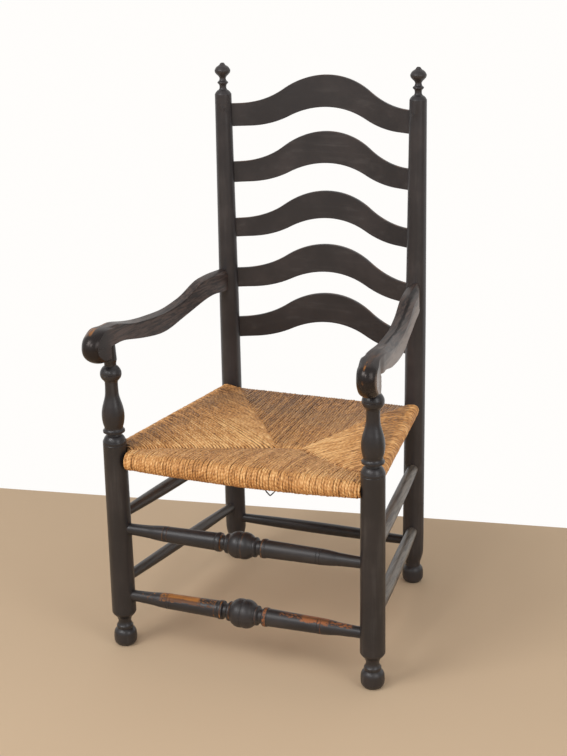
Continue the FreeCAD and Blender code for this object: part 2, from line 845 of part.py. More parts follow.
def arm_blank(name, side):
    """An arm's shape as on the right, in a frame on the front post with Y towards the rear post."""
    body = doc.addObject("PartDesign::Body", name)
    forward = size("grip_turn_forward")
    hollow = arm_seat(side) - size("grip_turn_drop")
    reach = size("grip_reach") - forward
    sections = []
    for shares in REAR_ARM_SHARES + FRONT_ARM_SHARES[side]:
        back = -(shares.place * arm_span) if shares.place else forward
        sections.append(section_sketch(body, len(sections), arm_outline(shares), ZERO, back, 0))
    for turn, inner_share, outer_share, dome_share, width_share in GRIP_SHARES[side]:
        half = width_share * size("grip_width") / 2
        points = grip_outline(inner_share * reach, outer_share * reach, dome_share * reach, half)
        sections.append(section_sketch(body, len(sections), points, hollow, forward, turn))
    doc.recompute()
    loft = body.newObject("PartDesign::AdditiveLoft", f"{name}_loft")
    loft.Profile = sections[0]
    loft.Sections = sections[1:]
    place(body, front_half, front_line, ZERO, UP, arm_angle)
    return body


def arm_tenon(name, side, slack):
    """The square tenon of an arm in its rear post, or with slack the mortise for it."""
    half = size("arm_mortise_width") / 2 + slack
    front = size("rear_middle_radius") + size("cut_overrun")
    back = size("arm_tenon_stop") - slack
    points = [
        (-half, -front, None, 1),
        (half, -front, None, 1),
        (half, -back, None, 1),
        (-half, -back, None, 1),
    ]
    body = padded(name, "XY_Plane", points, size("arm_mortise_height") + 2 * slack)
    low = size("arm_base_height") + size("arm_mortise_rise") - slack
    place(body, side * rear_half, rear_line, low, UP, side * arm_angle)
    return body


def make_arm(side):
    """An arm as on the right, coped to the rear post and bored for the front post's tenon."""
    slack = size("joint_clearance")
    overrun = size("cut_overrun")
    below = arm_seat(side) - overrun
    cope = doc.addObject("Part::Cone", f"arm_{side}_cope")
    bind(cope, Radius1=size("rear_middle_radius") + slack, Radius2=size("rear_neck_radius") + slack,
         Height=size("rear_shoulder") - size("rear_middle_height"))
    place(cope, rear_half, rear_line, size("rear_middle_height"))
    bore = doc.addObject("Part::Cylinder", f"arm_{side}_bore")
    bind(bore, Radius=size("arm_tenon_radius") + slack, Height=size("arm_tenon_length") + slack + overrun)
    place(bore, front_half, front_line, below)
    spot = doc.addObject("Part::Cylinder", f"arm_{side}_spot_face")
    bind(spot, Radius=STEM_TOP_SHARE * size("front_neck_radius") + slack, Height=overrun)
    place(spot, front_half, front_line, below)
    whole = doc.addObject("Part::Fuse", f"arm_{side}_tenoned")
    whole.Base = cut(f"arm_{side}_coped", arm_blank(f"arm_{side}_blank", side), [cope])
    whole.Tool = arm_tenon(f"arm_{side}_tenon", 1, ZERO)
    return cut(f"arm_{side}_bored", whole, [bore, spot], "Part::MultiFuse")


def make_arms():
    """The arms, the left one mirrored, and the mortises for them in the rear posts."""
    nodes["arm_right"] = make_arm("right")
    mirrored = doc.addObject("Part::Mirroring", "arm_left")
    mirrored.Source = make_arm("left")
    mirrored.Normal = Vector(1, 0, 0)
    nodes["arm_left"] = mirrored
    for side, word in ((-1, "left"), (1, "right")):
        mortise = arm_tenon(f"arm_mortise_{word}", side, size("joint_clearance"))
        sockets[f"rear_post_{word}"].append(mortise)


def roll(name, posts, heights, radius, forward):
    """A roll of rush round a seat rail."""
    start = (POSTS[posts[0]][0], POSTS[posts[0]][1] - forward, size(heights[0]))
    end = (POSTS[posts[1]][0], POSTS[posts[1]][1] - forward, size(heights[1]))
    way, span = direction(start, end)
    body = doc.addObject("Part::Cylinder", name)
    bind(body, Radius=radius, Height=span)
    along(body, start, way, span, ZERO)
    return body


def make_rush_seat():
    """The rush seat as one soft solid: a roll round each rail and a flat web between them."""
    slack = size("rush_clearance")
    side_roll = size("side_roll_radius")
    thickness = size("web_thickness")
    rolls = [
        roll("front_roll", *RAILS["front"], size("front_roll_radius"), size("front_roll_forward")),
        roll("rear_roll", *RAILS["rear"], size("rear_roll_radius"), ZERO),
        roll("left_roll", *RAILS["left"], side_roll, ZERO),
        roll("right_roll", *RAILS["right"], side_roll, ZERO),
    ]
    web = padded("web", "XY_Plane", [
        (-front_half, front_line, None, 1),
        (front_half, front_line, None, 1),
        (rear_half, rear_line, None, 1),
        (-rear_half, rear_line, None, 1),
    ], thickness)
    place(web, ZERO, ZERO, size("web_height") - thickness)
    rush = doc.addObject("Part::MultiFuse", "rush")
    rush.Shapes = rolls + [web]
    tools = []
    for side, (posts, heights) in RAILS.items():
        tunnel = roll(f"{side}_tunnel", posts, heights, size("rail_radius") + slack, ZERO)
        tools.append(tunnel)
    for name, (x, y) in POSTS.items():
        radius = size("front_shaft_radius") if name in FRONT else size("rear_shaft_radius")
        notch = doc.addObject("Part::Cylinder", f"{name}_notch")
        bind(notch, Radius=radius + slack, Height=size("front_shoulder"))
        place(notch, x, y, ZERO)
        tools.append(notch)
    nodes["rush_seat"] = cut("rush_seat", rush, tools, "Part::MultiFuse")


def make_posts():
    """The four posts, with their sockets."""
    for name, (x, y) in POSTS.items():
        if name in FRONT:
            turning = front_post(f"{name}_turning", name.split("_")[-1])
        else:
            turning = rear_post(f"{name}_turning")
        place(turning, x, y, ZERO)
        nodes[name] = cut(f"{name}_socketed", turning, sockets[name])
        if name in peg_holes:
            nodes[name] = cut(f"{name}_bored", nodes[name], [peg_holes[name]])


def check_document():
    """Stop if any object failed or any sub-part's shape is missing or broken."""
    for item in doc.Objects:
        if "Invalid" in item.State or "Error" in item.State:
            raise RuntimeError(f"{item.Name} failed: {item.State}")
    for name, item in nodes.items():
        shape = item.Shape
        if shape.isNull() or not shape.isValid() or len(shape.Solids) != 1:
            raise RuntimeError(f"{name} has a broken shape with {len(shape.Solids)} solids")


def write_parts():
    """Write each sub-part to its own file."""
    os.makedirs("parts", exist_ok=True)
    for name, item in nodes.items():
        item.Label = name
        item.Shape.exportStep(f"parts/{name}.step")
        box = item.Shape.BoundBox
        print(f"{name}: {item.Shape.Volume / 1000:.1f} cm3, z {box.ZMin:.1f} to {box.ZMax:.1f}")


doc = FreeCAD.newDocument("great_chair")
sheet = make_sheet()
UP = (ZERO, ZERO, as_size(1))
SLAT_COUNT = 5
FRONT = ("front_post_left", "front_post_right")
REAR = ("rear_post_left", "rear_post_right")
SIDES = {"left": ("front_post_left", "rear_post_left"), "right": ("front_post_right", "rear_post_right")}
depth = size("seat_depth")
whole_depth = size("grip_reach") + depth + size("slat_bow") + size("slat_thickness") / 2
front_line = size("grip_reach") - whole_depth / 2
rear_line = front_line + depth
front_half = size("front_width") / 2
rear_half = size("rear_width") / 2
arm_span = root(depth * depth + (front_half - rear_half) * (front_half - rear_half))
arm_angle = slope_angle(front_half - rear_half, depth)
POSTS = {
    "front_post_left": (-front_half, front_line),
    "front_post_right": (front_half, front_line),
    "rear_post_left": (-rear_half, rear_line),
    "rear_post_right": (rear_half, rear_line),
}
nodes = {}
sockets = {name: [] for name in POSTS}
peg_holes = {}
make_front_stretchers()
make_plain_stretchers()
make_seat_rails()
make_slats()
make_pegs()
make_arms()
make_posts()
make_rush_seat()
doc.recompute()
check_document()
write_parts()
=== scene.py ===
import math
import random
from collections import namedtuple

import bpy
from mathutils import Matrix, Vector, noise


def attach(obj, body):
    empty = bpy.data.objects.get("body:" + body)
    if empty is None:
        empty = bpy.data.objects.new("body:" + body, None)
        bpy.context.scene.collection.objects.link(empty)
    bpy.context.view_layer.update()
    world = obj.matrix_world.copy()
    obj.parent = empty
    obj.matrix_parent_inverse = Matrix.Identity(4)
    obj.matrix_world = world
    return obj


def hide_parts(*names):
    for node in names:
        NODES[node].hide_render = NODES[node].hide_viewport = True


# A great chair: black-painted turned posts, bowed slats and shaped arms, with a woven rush seat.
# Metres. +Z is up, the chair faces -Y, +X is to the right of someone who looks at its front.

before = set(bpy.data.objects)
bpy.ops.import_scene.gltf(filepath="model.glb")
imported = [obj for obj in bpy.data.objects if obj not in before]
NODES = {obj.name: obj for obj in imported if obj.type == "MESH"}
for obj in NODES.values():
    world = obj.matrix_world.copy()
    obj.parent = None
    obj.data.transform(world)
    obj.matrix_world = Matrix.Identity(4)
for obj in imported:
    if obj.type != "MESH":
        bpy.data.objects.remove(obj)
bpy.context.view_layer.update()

# Camera
CAMERA_PLACE = Vector((1.04522, -2.69282, 1.49743))
CAMERA_AZIMUTH = math.radians(21.13)
CAMERA_ELEVATION = math.radians(18.105)
CAMERA_ROLL = math.radians(-1.05)
CAMERA_LENS = 68.29
CAMERA_REACH = 40.0

# Stage: the backdrop starts on the floor at the line from BACKDROP_START to BACKDROP_END
BACKDROP_START = (-1.003, 0.433)
BACKDROP_END = (0.509, 0.659)
STAGE_REACH = 12.0
BACKDROP_DEPTH = 6.0
BACKDROP_HEIGHT = 30.0
FLOOR_COLOUR = (0.600, 0.446, 0.296)
FLOOR_VARIATION = 1.06
FLOOR_CLOUDS = (1.3, 2.0, 0.55)
FLOOR_ROUGHNESS = 0.75
BACKDROP_COLOUR = (0.93, 0.90, 0.87)
BACKDROP_GLOW = (1.0, 0.985, 0.965)

# Lights: each lamp is (name, place, (width, height), watts)
SKY_COLOUR = (1.0, 0.985, 0.97)
SKY_STRENGTH = 0.62
LAMPS = (
    ("key", (-1.6, -2.6, 3.0), (1.6, 1.6), 54),
    ("front", (0.1, -3.2, 2.5), (0.35, 0.8), 15),
    ("fill", (2.4, -1.4, 1.7), (1.2, 1.6), 16),
)
LAMP_TARGET = (0, 0, 0.5)

# The chair's plan: the posts' centres and radii at the seat
FRONT_HALF = 0.278
FRONT_Y = -0.239
REAR_HALF = 0.2225
REAR_Y = 0.250
SEAT_DEPTH = 0.489
POSTS = ((FRONT_HALF, FRONT_Y, 0.0258), (REAR_HALF, REAR_Y, 0.0232))

# Rush: the seams where the four panels meet, from each corner of the seat to the middle
SEAMS = {
    "front_left": [(-0.267, -0.244, 0.4470), (-0.249, -0.232, 0.4460), (-0.194, -0.178, 0.4360),
                   (-0.127, -0.135, 0.4280), (-0.059, -0.097, 0.4220), (0.011, -0.065, 0.4190)],
    "front_right": [(0.264, -0.224, 0.4470), (0.239, -0.201, 0.4460), (0.203, -0.176, 0.4385),
                    (0.160, -0.139, 0.4310), (0.120, -0.105, 0.4255), (0.067, -0.058, 0.4210)],
    "rear_left": [(-0.206, 0.240, 0.4400), (-0.191, 0.230, 0.4365), (-0.158, 0.177, 0.4325),
                  (-0.124, 0.122, 0.4295), (-0.072, 0.056, 0.4260), (-0.034, 0.001, 0.4230),
                  (0.011, -0.065, 0.4190)],
    "rear_right": [(0.214, 0.240, 0.4395), (0.204, 0.217, 0.4370), (0.173, 0.161, 0.4340),
                   (0.135, 0.088, 0.4300), (0.117, 0.044, 0.4270), (0.089, -0.015, 0.4235),
                   (0.067, -0.058, 0.4210)],
}
RIDGE = [SEAMS["front_left"][-1], SEAMS["front_right"][-1]]

# Rush strands. Widths and thicknesses are half sizes.
STRAND_PITCH = 0.0060
PITCH_JITTER = 0.0004
STRAND_WIDTH = 0.0033
WIDTH_RANGE = (0.92, 1.08)
SPREAD_LIMITS = (0.85, 1.45)
STRAND_THICKNESS = 0.0024
THICKNESS_RANGE = (0.85, 1.15)
STRAND_STEP = 0.0045
STRAND_SIDES = 10
LONGEST_STRAND = 0.45
END_TAPER = 0.55
SWELL = 0.26
SWELL_RATE = 60.0
SWELL_SEED = (3.1, 2.0)
SWAY = 0.0010
SWAY_RATES = (16.0, 40.0)
SWAY_SEED = (1.7, 5.0)
RISE = 0.0008
RISE_RATE = 30.0
RISE_SEED = (2.3, 9.0)
POST_GAP_SHARE = 0.2
LEAST_POINTS = 3

# How a strand falls from its rail to its seam, goes down through it and comes back underneath
PANEL_FALL = 1.7
FALL_START = 0.003
SEAM_TUCK = ((0.0030, 0.0100), (0.0018, 0.0052), (-0.0006, 0.0015))
WEB_DEPTH = 0.023
UNDER_RISE = 0.012
UNDER_TUCK = (0.0025, 0.006)
LEAST_ARC = 6

# How far the side strands slant towards the front, in degrees, from the front of the rail to its rear
SLANTS = {"left": (20, 27, 28, 26, 19, 8), "right": (16, 28, 32, 31, 22, 8)}
SLANT_START = 0.014
FAN_STEP = 0.05

# The front panel: its rail's line, the ends' and the middle's (axis height, roll radius)
FRONT_RAIL_Y = -0.244
FRONT_SPAN = (-0.2490, 0.2580)
FRONT_ENDS = {"left": (0.4255, 0.0163), "right": (0.4268, 0.0150)}
FRONT_MIDDLE = (0.4245, 0.0210)
FRONT_SWELL_HALF = 0.26
FRONT_LIFT = -0.0014
FRONT_PACE = 1.8

# The rear panel, from left to right
REAR_SPAN = (-0.206, 0.206)
REAR_HEIGHTS = (0.4162, 0.4145)
REAR_ROLL = 0.0120
REAR_PACE = 1.2

# The side panels, from front to rear
SIDE_SPAN = (-0.242, 0.231)
SIDE_FRONT_HEIGHT = 0.4387
SIDE_REAR_HEIGHTS = {"left": 0.4310, "right": 0.4285}
SIDE_ROLL = 0.0117
SIDE_LIFT = 0.0016

# The twist changes hand here along the front and rear rails
HAND_CHANGE_X = 0.04

# How light a strand is: on its rail, far inward of it, on the roll's side and below, and added at its seam
Tone = namedtuple("Tone", "rail far roll seam")
FRONT_TONE = Tone(0.96, 0.93, 0.94, 0.0)
REAR_TONES = (Tone(0.62, 0.72, 0.72, 0.12), Tone(0.62, 0.73, 0.72, 0.12))
SIDE_TONES = {
    "left": (Tone(0.58, 1.52, 0.92, 0.0), Tone(0.58, 0.84, 0.92, 0.0)),
    "right": (Tone(0.66, 1.38, 0.92, 0.0), Tone(0.66, 0.96, 0.92, 0.0)),
}
TONE_REACH = 0.14
ROLL_EDGE = 0.012
SEAM_FADE = 4

# A thin loop that has come loose under the front roll
LOOSE_STRAND = [(0.0555, -0.249, 0.4060), (0.0620, -0.251, 0.3990), (0.0690, -0.252, 0.3930),
                (0.0745, -0.251, 0.3985), (0.0810, -0.249, 0.4060)]
LOOSE_RADIUS = 0.0016
LOOSE_TONE = 0.2
LOOSE_TINT = 0.3

# Colours of the paint, in linear light
BLACK = (0.0192, 0.0168, 0.0180)
BROWN_BLACK = (0.0305, 0.0250, 0.0252)
DUSTY = (0.066, 0.060, 0.058)
BARE_WOOD = (0.50, 0.200, 0.048)
RED_WOOD = (0.34, 0.125, 0.050)
WORN_BROWN = (0.135, 0.060, 0.030)
# Near black: grime on the handled grips, and painted shade with dirt in the right arm's crease
SOOT_AND_SHADE = (0.008, 0.0065, 0.0065)
PALE_CHIP = (0.17, 0.135, 0.115)
# The right arm's outer side: dust, with painted light and sheen from the right
ARM_SIDE_DUST_AND_LIGHT = ((0.052, 0.039, 0.033), (0.215, 0.168, 0.140))
ARM_TOP = ((0.012, 0.008, 0.0075), (0.094, 0.060, 0.048))
# Side stretchers: dust, with painted light on their sides that face up and to the right
RUNG_DUST_AND_LIGHT = ((0.085, 0.068, 0.056), (0.215, 0.185, 0.150))
RIVEN_WOOD = ((0.30, 0.19, 0.10), (0.42, 0.29, 0.17))
PLAIN_SHEEN = (1.0, 1.0, 1.0)
WARM_SHEEN = (1.0, 0.88, 0.83)

# Colours of the rush
RUSH_DARK = (0.200, 0.085, 0.026)
RUSH_GOLD = (0.64, 0.302, 0.098)
RUSH_PALE = (0.98, 0.595, 0.255)
# Painted shade, with dirt, between the strands
RUSH_GAP_SHADE = (0.120, 0.050, 0.018)
RUSH_GREY = (0.22, 0.130, 0.068)
RUSH_BLACK = (0.020, 0.015, 0.012)

# Rush patterns. Drawn noise is (rate along, rate around, difference between strands, detail, roughness).
TWIST_LENGTH = 0.0115
TWIST_TURNS = 2.0
TWIST_DRIFT = 13.0
TWIST_PHASE = 60.0
DRIFT_NOISE = (26.0, 3.0, 0.55)
RUSH_CLOUDS = (11.0, 4.0, 0.55)
STREAK_DRAWN = (34.0, 10.0, 90.0, 4.0, 0.65)
DASH_DRAWN = (58.0, 8.0, 70.0, 2.0, 0.5)
BROKEN_RATES = (70.0, 50.0)
BROKEN_NOISE = (1.0, 2.0, 0.5)
FINE_RATES = (0.9, 5.0, 40.0)
FINE_NOISE = (1.0, 3.0, 0.6)

# How much each pattern lightens the rush, and where it turns from dark to gold to pale
RUSH_LIGHTNESS = 0.63
STREAK_SHARE = 1.35
DASH_SHARE = 1.35
TINT_SHARE = 0.26
CLOUD_SHARE = 0.32
TWIST_SHARE = 0.08
TONE_SHARE = 0.9
GOLD_FROM = (0.12, 0.54)
PALE_FROM = (0.54, 1.00)
CROWN = (0.14, 0.78)
GAP_SHADE_SHARES = (0.45, 0.55)
GAP_SHADE_BREAKS = (0.38, 0.60)
GREY_TONES = (0.92, 0.70)
GREY_CLOUDS = (0.35, 0.65)
GREY_SHARE = 0.40
BLACK_TONES = (0.5, 0.3)
RUSH_ROUGHNESS = 0.60
STREAK_ROUGHNESS = -0.22
RUSH_HEIGHT_SHARES = (0.36, 0.6, 0.3)
RUSH_SHINE = 0.36

# The grain of the painted wood: cycles to a metre along X, Y and Z
UPRIGHT = (75.0, 75.0, 5.0)
ACROSS = (5.0, 75.0, 75.0)
FORWARD = (75.0, 5.0, 75.0)
RIVEN_GRAIN = (40.0, 40.0, 40.0)
TORN = (300.0, 80.0, 80.0)
TORN_COARSE = (190.0, 80.0, 190.0)
FLAKES = (170.0, 280.0, 280.0)
SIDE_STREAKS = (260.0, 9.0, 260.0)
TOP_STREAKS = (230.0, 7.0, 230.0)
RUNG_STREAKS = (200.0, 6.0, 200.0)

# Noise: (scale, detail, roughness), with a scale of 1 on places that are already stretched
FIBRE_NOISE = (1.0, 5.0, 0.6)
CLOUD_NOISE = (9.0, 4.0, 0.6)
SPECK_NOISE = (420.0, 2.0, 0.5)
SLAT_NOISE = (35.0, 4.0, 0.55)
RAGGED_NOISE = (70.0, 4.0, 0.7)
FLAKE_NOISE = (1.0, 4.0, 0.72)
RING_NOISE = (160.0, 3.0, 0.6)
WOBBLE_NOISE = (90.0, 3.0, 0.55)
STREAK_NOISE = (1.0, 4.0, 0.65)
COARSE_NOISE = (1.0, 4.0, 0.7)
TOP_NOISE = (1.0, 5.0, 0.7)
CREASE_NOISE = (30.0, 3.0, 0.55)

# The depth of the relief in metres, and how strong it is
PAINT_RELIEF = (0.0006, 0.55)
RIVEN_RELIEF = (0.0005, 0.6)
RUSH_RELIEF = (0.0010, 0.9)

# Paint: a pair says where a pattern starts and where it is full, and a share weighs it
BROWN_CLOUDS = (0.40, 0.72)
DUSTY_FIBRES = (0.50, 0.72)
DUSTY_CLOUDS = (0.3, 0.65)
WORN_FIBRES = (0.35, 0.65)
PAINT_ROUGHNESS = 0.25
ROUGHNESS_SHARES = (0.20, 0.12)
HEIGHT_SHARES = (0.5, 0.18, 0.3)
WORN_DEPTH = 0.5
WORN_DULLNESS = 0.7
RIVEN_ROUGHNESS = 0.65

# Wear on the slats' top edges
SLAT_UP = (0.45, 0.9)
SLAT_BREAKS = (0.42, 0.62)
SLAT_SHARE = 0.75

# Wear on the arms: (from, to, softness) along an axis, and pairs as above
RIGHT_STREAK = {
    "x": (0.2802, 0.2836, 0.0012), "y": (-0.3085, -0.2885, 0.0035), "up": (0.3, 0.5), "share": 0.85}
RIGHT_NOSE = {
    "x": (0.2795, 0.2835, 0.0012), "z": (0.6660, 0.6740, 0.002), "front": (-0.30, -0.31), "share": 0.25}
RIGHT_RUB = {"x": (0.2775, 0.2925, 0.002), "y": (-0.300, -0.245, 0.01), "up": (0.7, 0.95), "share": 0.12}
RIGHT_TORN = (0.40, 0.56)
RIGHT_WOBBLE = 0.004
LEFT_PATCH = {
    "x": (-0.3010, -0.2842, 0.0020), "y": (-0.2995, -0.2700, 0.0035), "torn": (0.38, 0.50), "share": 0.85}
LEFT_LINE = {
    "x": (-0.2890, -0.2842, 0.0008), "y": (-0.2740, -0.1750, 0.012), "torn": (0.40, 0.56), "share": 0.6}
LEFT_UP = (0.25, 0.6)
CHIP = {
    "line": (0.2560, 0.2625, 0.0015), "y": (-0.205, -0.172, 0.006), "fibre": (0.42, 0.58), "share": 0.75}

# The right arm's crease, darkened as painted shade with dirt: the line x + CREASE_SLOPE * y = CREASE_LINE,
# wider towards the rear
CREASE_SLOPE = 0.101
CREASE_LINE = 0.2588
CREASE_SPAN = (-0.150, 0.205, 0.01)
CREASE_WIDTH = 0.0040
CREASE_WIDENING = 0.0045
CREASE_REAR = (0.06, 0.19)
CREASE_CORE = 0.0012
CREASE_WOBBLE = 0.006
CREASE_UP = (0.25, 0.5)
CREASE_SHARE = 0.80

# The right arm's outer side, with dust and painted light and sheen from the right: the height of its upper
# edge, which rises (from y, to y, by how much) twice
SIDE_TOP = 0.693
SIDE_TOP_REAR = (0.0, 0.18, 0.028)
SIDE_TOP_FRONT = (-0.09, -0.18, 0.006)
SIDE_FADE = (0.004, 0.034)
SIDE_STREAK_SHARE = 1.9
SIDE_DARKER = -0.05
SIDE_FACING = (0.80, 0.95)
SIDE_SHARE = 0.90

# The streaks on the arms' tops, and the handled fronts of the grips, along Y
TOP_START = (-0.290, -0.235)
TOP_BLEND = (0.40, 0.60)
TOP_SHARE = 0.72
GRIP_FRONT = (-0.262, -0.290)
GRIP_DARKNESS = 0.75
GRIP_GLOSS = 0.13

# Dust and painted light on the side stretchers: how much it lies on surfaces that face up and to the right
DUST_AND_LIGHT_FACING_SHARES = (0.8, 0.55)
DUST_AND_LIGHT_FACING = (0.25, 0.80)
DUST_AND_LIGHT_BLEND = (0.35, 0.6)

# Bare patches on the front stretchers: (from, to, share bare, how far up its lowest part faces)
UPPER_PATCHES = ((-0.20, -0.06, 0.12, 0.7), (0.07, 0.20, 0.14, 0.7))
LOWER_PATCHES = (
    (-0.186, -0.172, 0.36, 0.40), (-0.172, -0.098, 0.47, 0.48), (-0.098, -0.064, 0.28, 0.45),
    (-0.230, -0.195, 0.20, 0.3), (0.083, 0.128, 0.31, 0.78), (0.128, 0.187, 0.42, 0.60),
    (0.190, 0.236, 0.32, 0.70))

# Worn rings round the front stretchers: (from, to, strength)
UPPER_RINGS = (
    (-0.1735, -0.1722, 0.35), (-0.1640, -0.1628, 0.3), (-0.0440, -0.0424, 0.45), (-0.0228, -0.0214, 0.4),
    (0.0060, 0.0072, 0.3), (0.0468, 0.0488, 0.45))
LOWER_RINGS = (
    (-0.0624, -0.0606, 0.6), (-0.0488, -0.0468, 0.8), (-0.0285, -0.0262, 0.45), (0.0470, 0.0530, 0.95),
    (0.0300, 0.0312, 0.3), (0.1700, 0.1722, 0.5))
PATCH_EDGE = 0.004
PATCH_RAGGED = 0.7
PATCH_UP_SOFT = 0.06
FLAKE_START = 0.80
FLAKE_FULL = 0.85
RING_EDGE = 0.0006
RING_BREAKS = (0.34, 0.52)
RUNG_WOOD_CHANGE = (-0.02, 0.02)

SEED = 41
RANDOM = random.Random(SEED)


class Graph:
    """A material's nodes, built from the shader backwards."""

    def __init__(self, name):
        self.material = bpy.data.materials.new(name)
        self.material.use_nodes = True
        self.tree = self.material.node_tree
        self.tree.nodes.clear()
        self.output = self.tree.nodes.new("ShaderNodeOutputMaterial")

    def node(self, kind, *inputs, **settings):
        """A node with its first inputs set or linked in order."""
        made = self.tree.nodes.new(kind)
        for key, value in settings.items():
            setattr(made, key, value)
        for socket, value in zip(made.inputs, inputs):
            self.feed(socket, value)
        return made

    def feed(self, socket, value):
        """Link a socket to another or set it to a value."""
        if isinstance(value, bpy.types.NodeSocket):
            self.tree.links.new(value, socket)
        elif value is not None:
            socket.default_value = value

    def math(self, operation, a, b=None):
        """A sum on numbers."""
        return self.node("ShaderNodeMath", a, b, operation=operation).outputs[0]

    def total(self, *parts):
        """The sum of several numbers."""
        result = parts[0]
        for part in parts[1:]:
            result = self.math("ADD", result, part)
        return result

    def product(self, *parts):
        """The product of several numbers."""
        result = parts[0]
        for part in parts[1:]:
            result = self.math("MULTIPLY", result, part)
        return result

    def weighed(self, parts, shares):
        """The sum of several numbers, each times its share."""
        return self.total(*(self.product(part, share) for part, share in zip(parts, shares)))

    def centred(self, value, weight):
        """A number from 0 to 1 taken about its middle and weighted."""
        return self.product(self.math("SUBTRACT", value, 0.5), weight)

    def most(self, *parts):
        """The largest of several numbers."""
        result = parts[0]
        for part in parts[1:]:
            result = self.math("MAXIMUM", result, part)
        return result

    def step(self, value, low, high):
        """A smooth step from 0 at low to 1 at high."""
        smooth = {"interpolation_type": "SMOOTHSTEP"}
        return self.node("ShaderNodeMapRange", value, low, high, 0.0, 1.0, **smooth).outputs[0]

    def band(self, value, low, high, soft):
        """1 between low and high, with soft edges."""
        rise = self.step(value, low - soft, low + soft)
        fall = self.step(value, high + soft, high - soft)
        return self.product(rise, fall)

    def stretch(self, vector, scale):
        """A vector with each part scaled."""
        return self.node("ShaderNodeVectorMath", vector, scale, operation="MULTIPLY").outputs[0]

    def vector(self, x, y, z):
        """A vector of three numbers."""
        return self.node("ShaderNodeCombineXYZ", x, y, z).outputs[0]

    def parts(self, vector):
        """The three parts of a vector."""
        return self.node("ShaderNodeSeparateXYZ", vector).outputs

    def place(self, output="Object"):
        """Where a point is on its object, or which way the surface faces there."""
        return self.node("ShaderNodeTexCoord").outputs[output]

    def noise(self, vector, scale, detail, roughness):
        """Cloudy noise from 0 to 1."""
        made = self.node("ShaderNodeTexNoise")
        self.feed(made.inputs["Vector"], vector)
        made.inputs["Scale"].default_value = scale
        made.inputs["Detail"].default_value = detail
        made.inputs["Roughness"].default_value = roughness
        return made.outputs[0]

    def mix(self, share, a, b):
        """A blend of two colours."""
        made = self.node("ShaderNodeMix", data_type="RGBA")
        self.feed(made.inputs[0], share)
        for socket, value in ((made.inputs[6], a), (made.inputs[7], b)):
            self.feed(socket, (*value, 1.0) if isinstance(value, tuple) else value)
        return made.outputs[2]

    def attribute(self, name):
        """A number stored on the mesh."""
        return self.node("ShaderNodeAttribute", attribute_name=name).outputs["Fac"]

    def finish(self, colour, roughness, height=None, relief=PAINT_RELIEF, specular=0.5, **fixed):
        """The surface shader. Relief is the depth of its bumps and their strength."""
        shader = self.node("ShaderNodeBsdfPrincipled")
        self.feed(shader.inputs["Base Color"], colour)
        self.feed(shader.inputs["Roughness"], roughness)
        self.feed(shader.inputs["Specular IOR Level"], specular)
        for key, value in fixed.items():
            shader.inputs[key.replace("_", " ")].default_value = value
        if height is not None:
            bump = self.node("ShaderNodeBump")
            bump.inputs["Distance"].default_value = relief[0]
            bump.inputs["Strength"].default_value = relief[1]
            self.feed(bump.inputs["Height"], height)
            self.tree.links.new(bump.outputs[0], shader.inputs["Normal"])
        self.tree.links.new(shader.outputs[0], self.output.inputs[0])
        return self.material


Surface = namedtuple("Surface", "g place normal fibre")


def paint(name, grain, wear=None, wear_colour=BARE_WOOD, dust=0.35, light=1.0, gloss=None, marks=(),
          matt=None, sheen=PLAIN_SHEEN, shine=0.5, polish=0.0):
    """Old black paint over wood, with grain along one axis, wear where a mask says and other marks; light
    makes its colours lighter, as painted reflected light.
    """
    g = Graph(name)
    place = g.place()
    fibre = g.noise(g.stretch(place, grain), *FIBRE_NOISE)
    cloud = g.noise(place, *CLOUD_NOISE)
    speck = g.noise(place, *SPECK_NOISE)
    surface = Surface(g, place, g.place("Normal"), fibre)
    dark, brown, dusty = [tuple(part * light for part in colour) for colour in (BLACK, BROWN_BLACK, DUSTY)]
    colour = g.mix(g.step(cloud, *BROWN_CLOUDS), dark, brown)
    dusted = g.product(g.step(fibre, *DUSTY_FIBRES), g.step(cloud, *DUSTY_CLOUDS), dust)
    colour = g.mix(dusted, colour, dusty)
    roughness = g.total(PAINT_ROUGHNESS - polish, g.weighed((cloud, fibre), ROUGHNESS_SHARES))
    height = g.weighed((fibre, speck, cloud), HEIGHT_SHARES)
    dull = None
    for mark in marks:
        mask, tone = mark(surface)
        colour = g.mix(mask, colour, tone)
        if mark is matt:
            dull = mask
    if wear is not None:
        mask = wear(surface)
        worn_dull = g.product(mask, WORN_DULLNESS)
        dull = worn_dull if dull is None else g.most(dull, worn_dull)
        wood = wear_colour(surface) if callable(wear_colour) else wear_colour
        colour = g.mix(mask, colour, g.mix(g.step(fibre, *WORN_FIBRES), WORN_BROWN, wood))
        height = g.math("SUBTRACT", height, g.product(mask, WORN_DEPTH))
    if gloss is not None:
        roughness = g.math("SUBTRACT", roughness, gloss(surface))
    specular = shine if dull is None else g.math("SUBTRACT", shine, g.product(dull, shine))
    return g.finish(colour, roughness, height, PAINT_RELIEF, specular, Specular_Tint=(*sheen, 1.0))


def slat_wear(on):
    """Brown along the top edges of a slat."""
    g = on.g
    up = g.parts(on.normal)[2]
    broken = g.step(g.noise(on.place, *SLAT_NOISE), *SLAT_BREAKS)
    return g.product(g.step(up, *SLAT_UP), broken, SLAT_SHARE)


def rung_patches(patches):
    """Bare patches on the top of a stretcher."""
    def wear(on):
        g = on.g
        x = g.parts(on.place)[0]
        ragged = g.centred(g.noise(on.place, *RAGGED_NOISE), PATCH_RAGGED)
        up = g.total(g.parts(on.normal)[2], ragged)
        flakes = g.noise(g.stretch(on.place, FLAKES), *FLAKE_NOISE)
        found = []
        for start, end, bare, low in patches:
            on_top = g.step(up, low - PATCH_UP_SOFT, low + PATCH_UP_SOFT)
            flaked = g.step(flakes, FLAKE_START - bare, FLAKE_FULL - bare)
            found.append(g.product(g.band(x, start, end, PATCH_EDGE), on_top, flaked))
        return g.most(*found)
    return wear


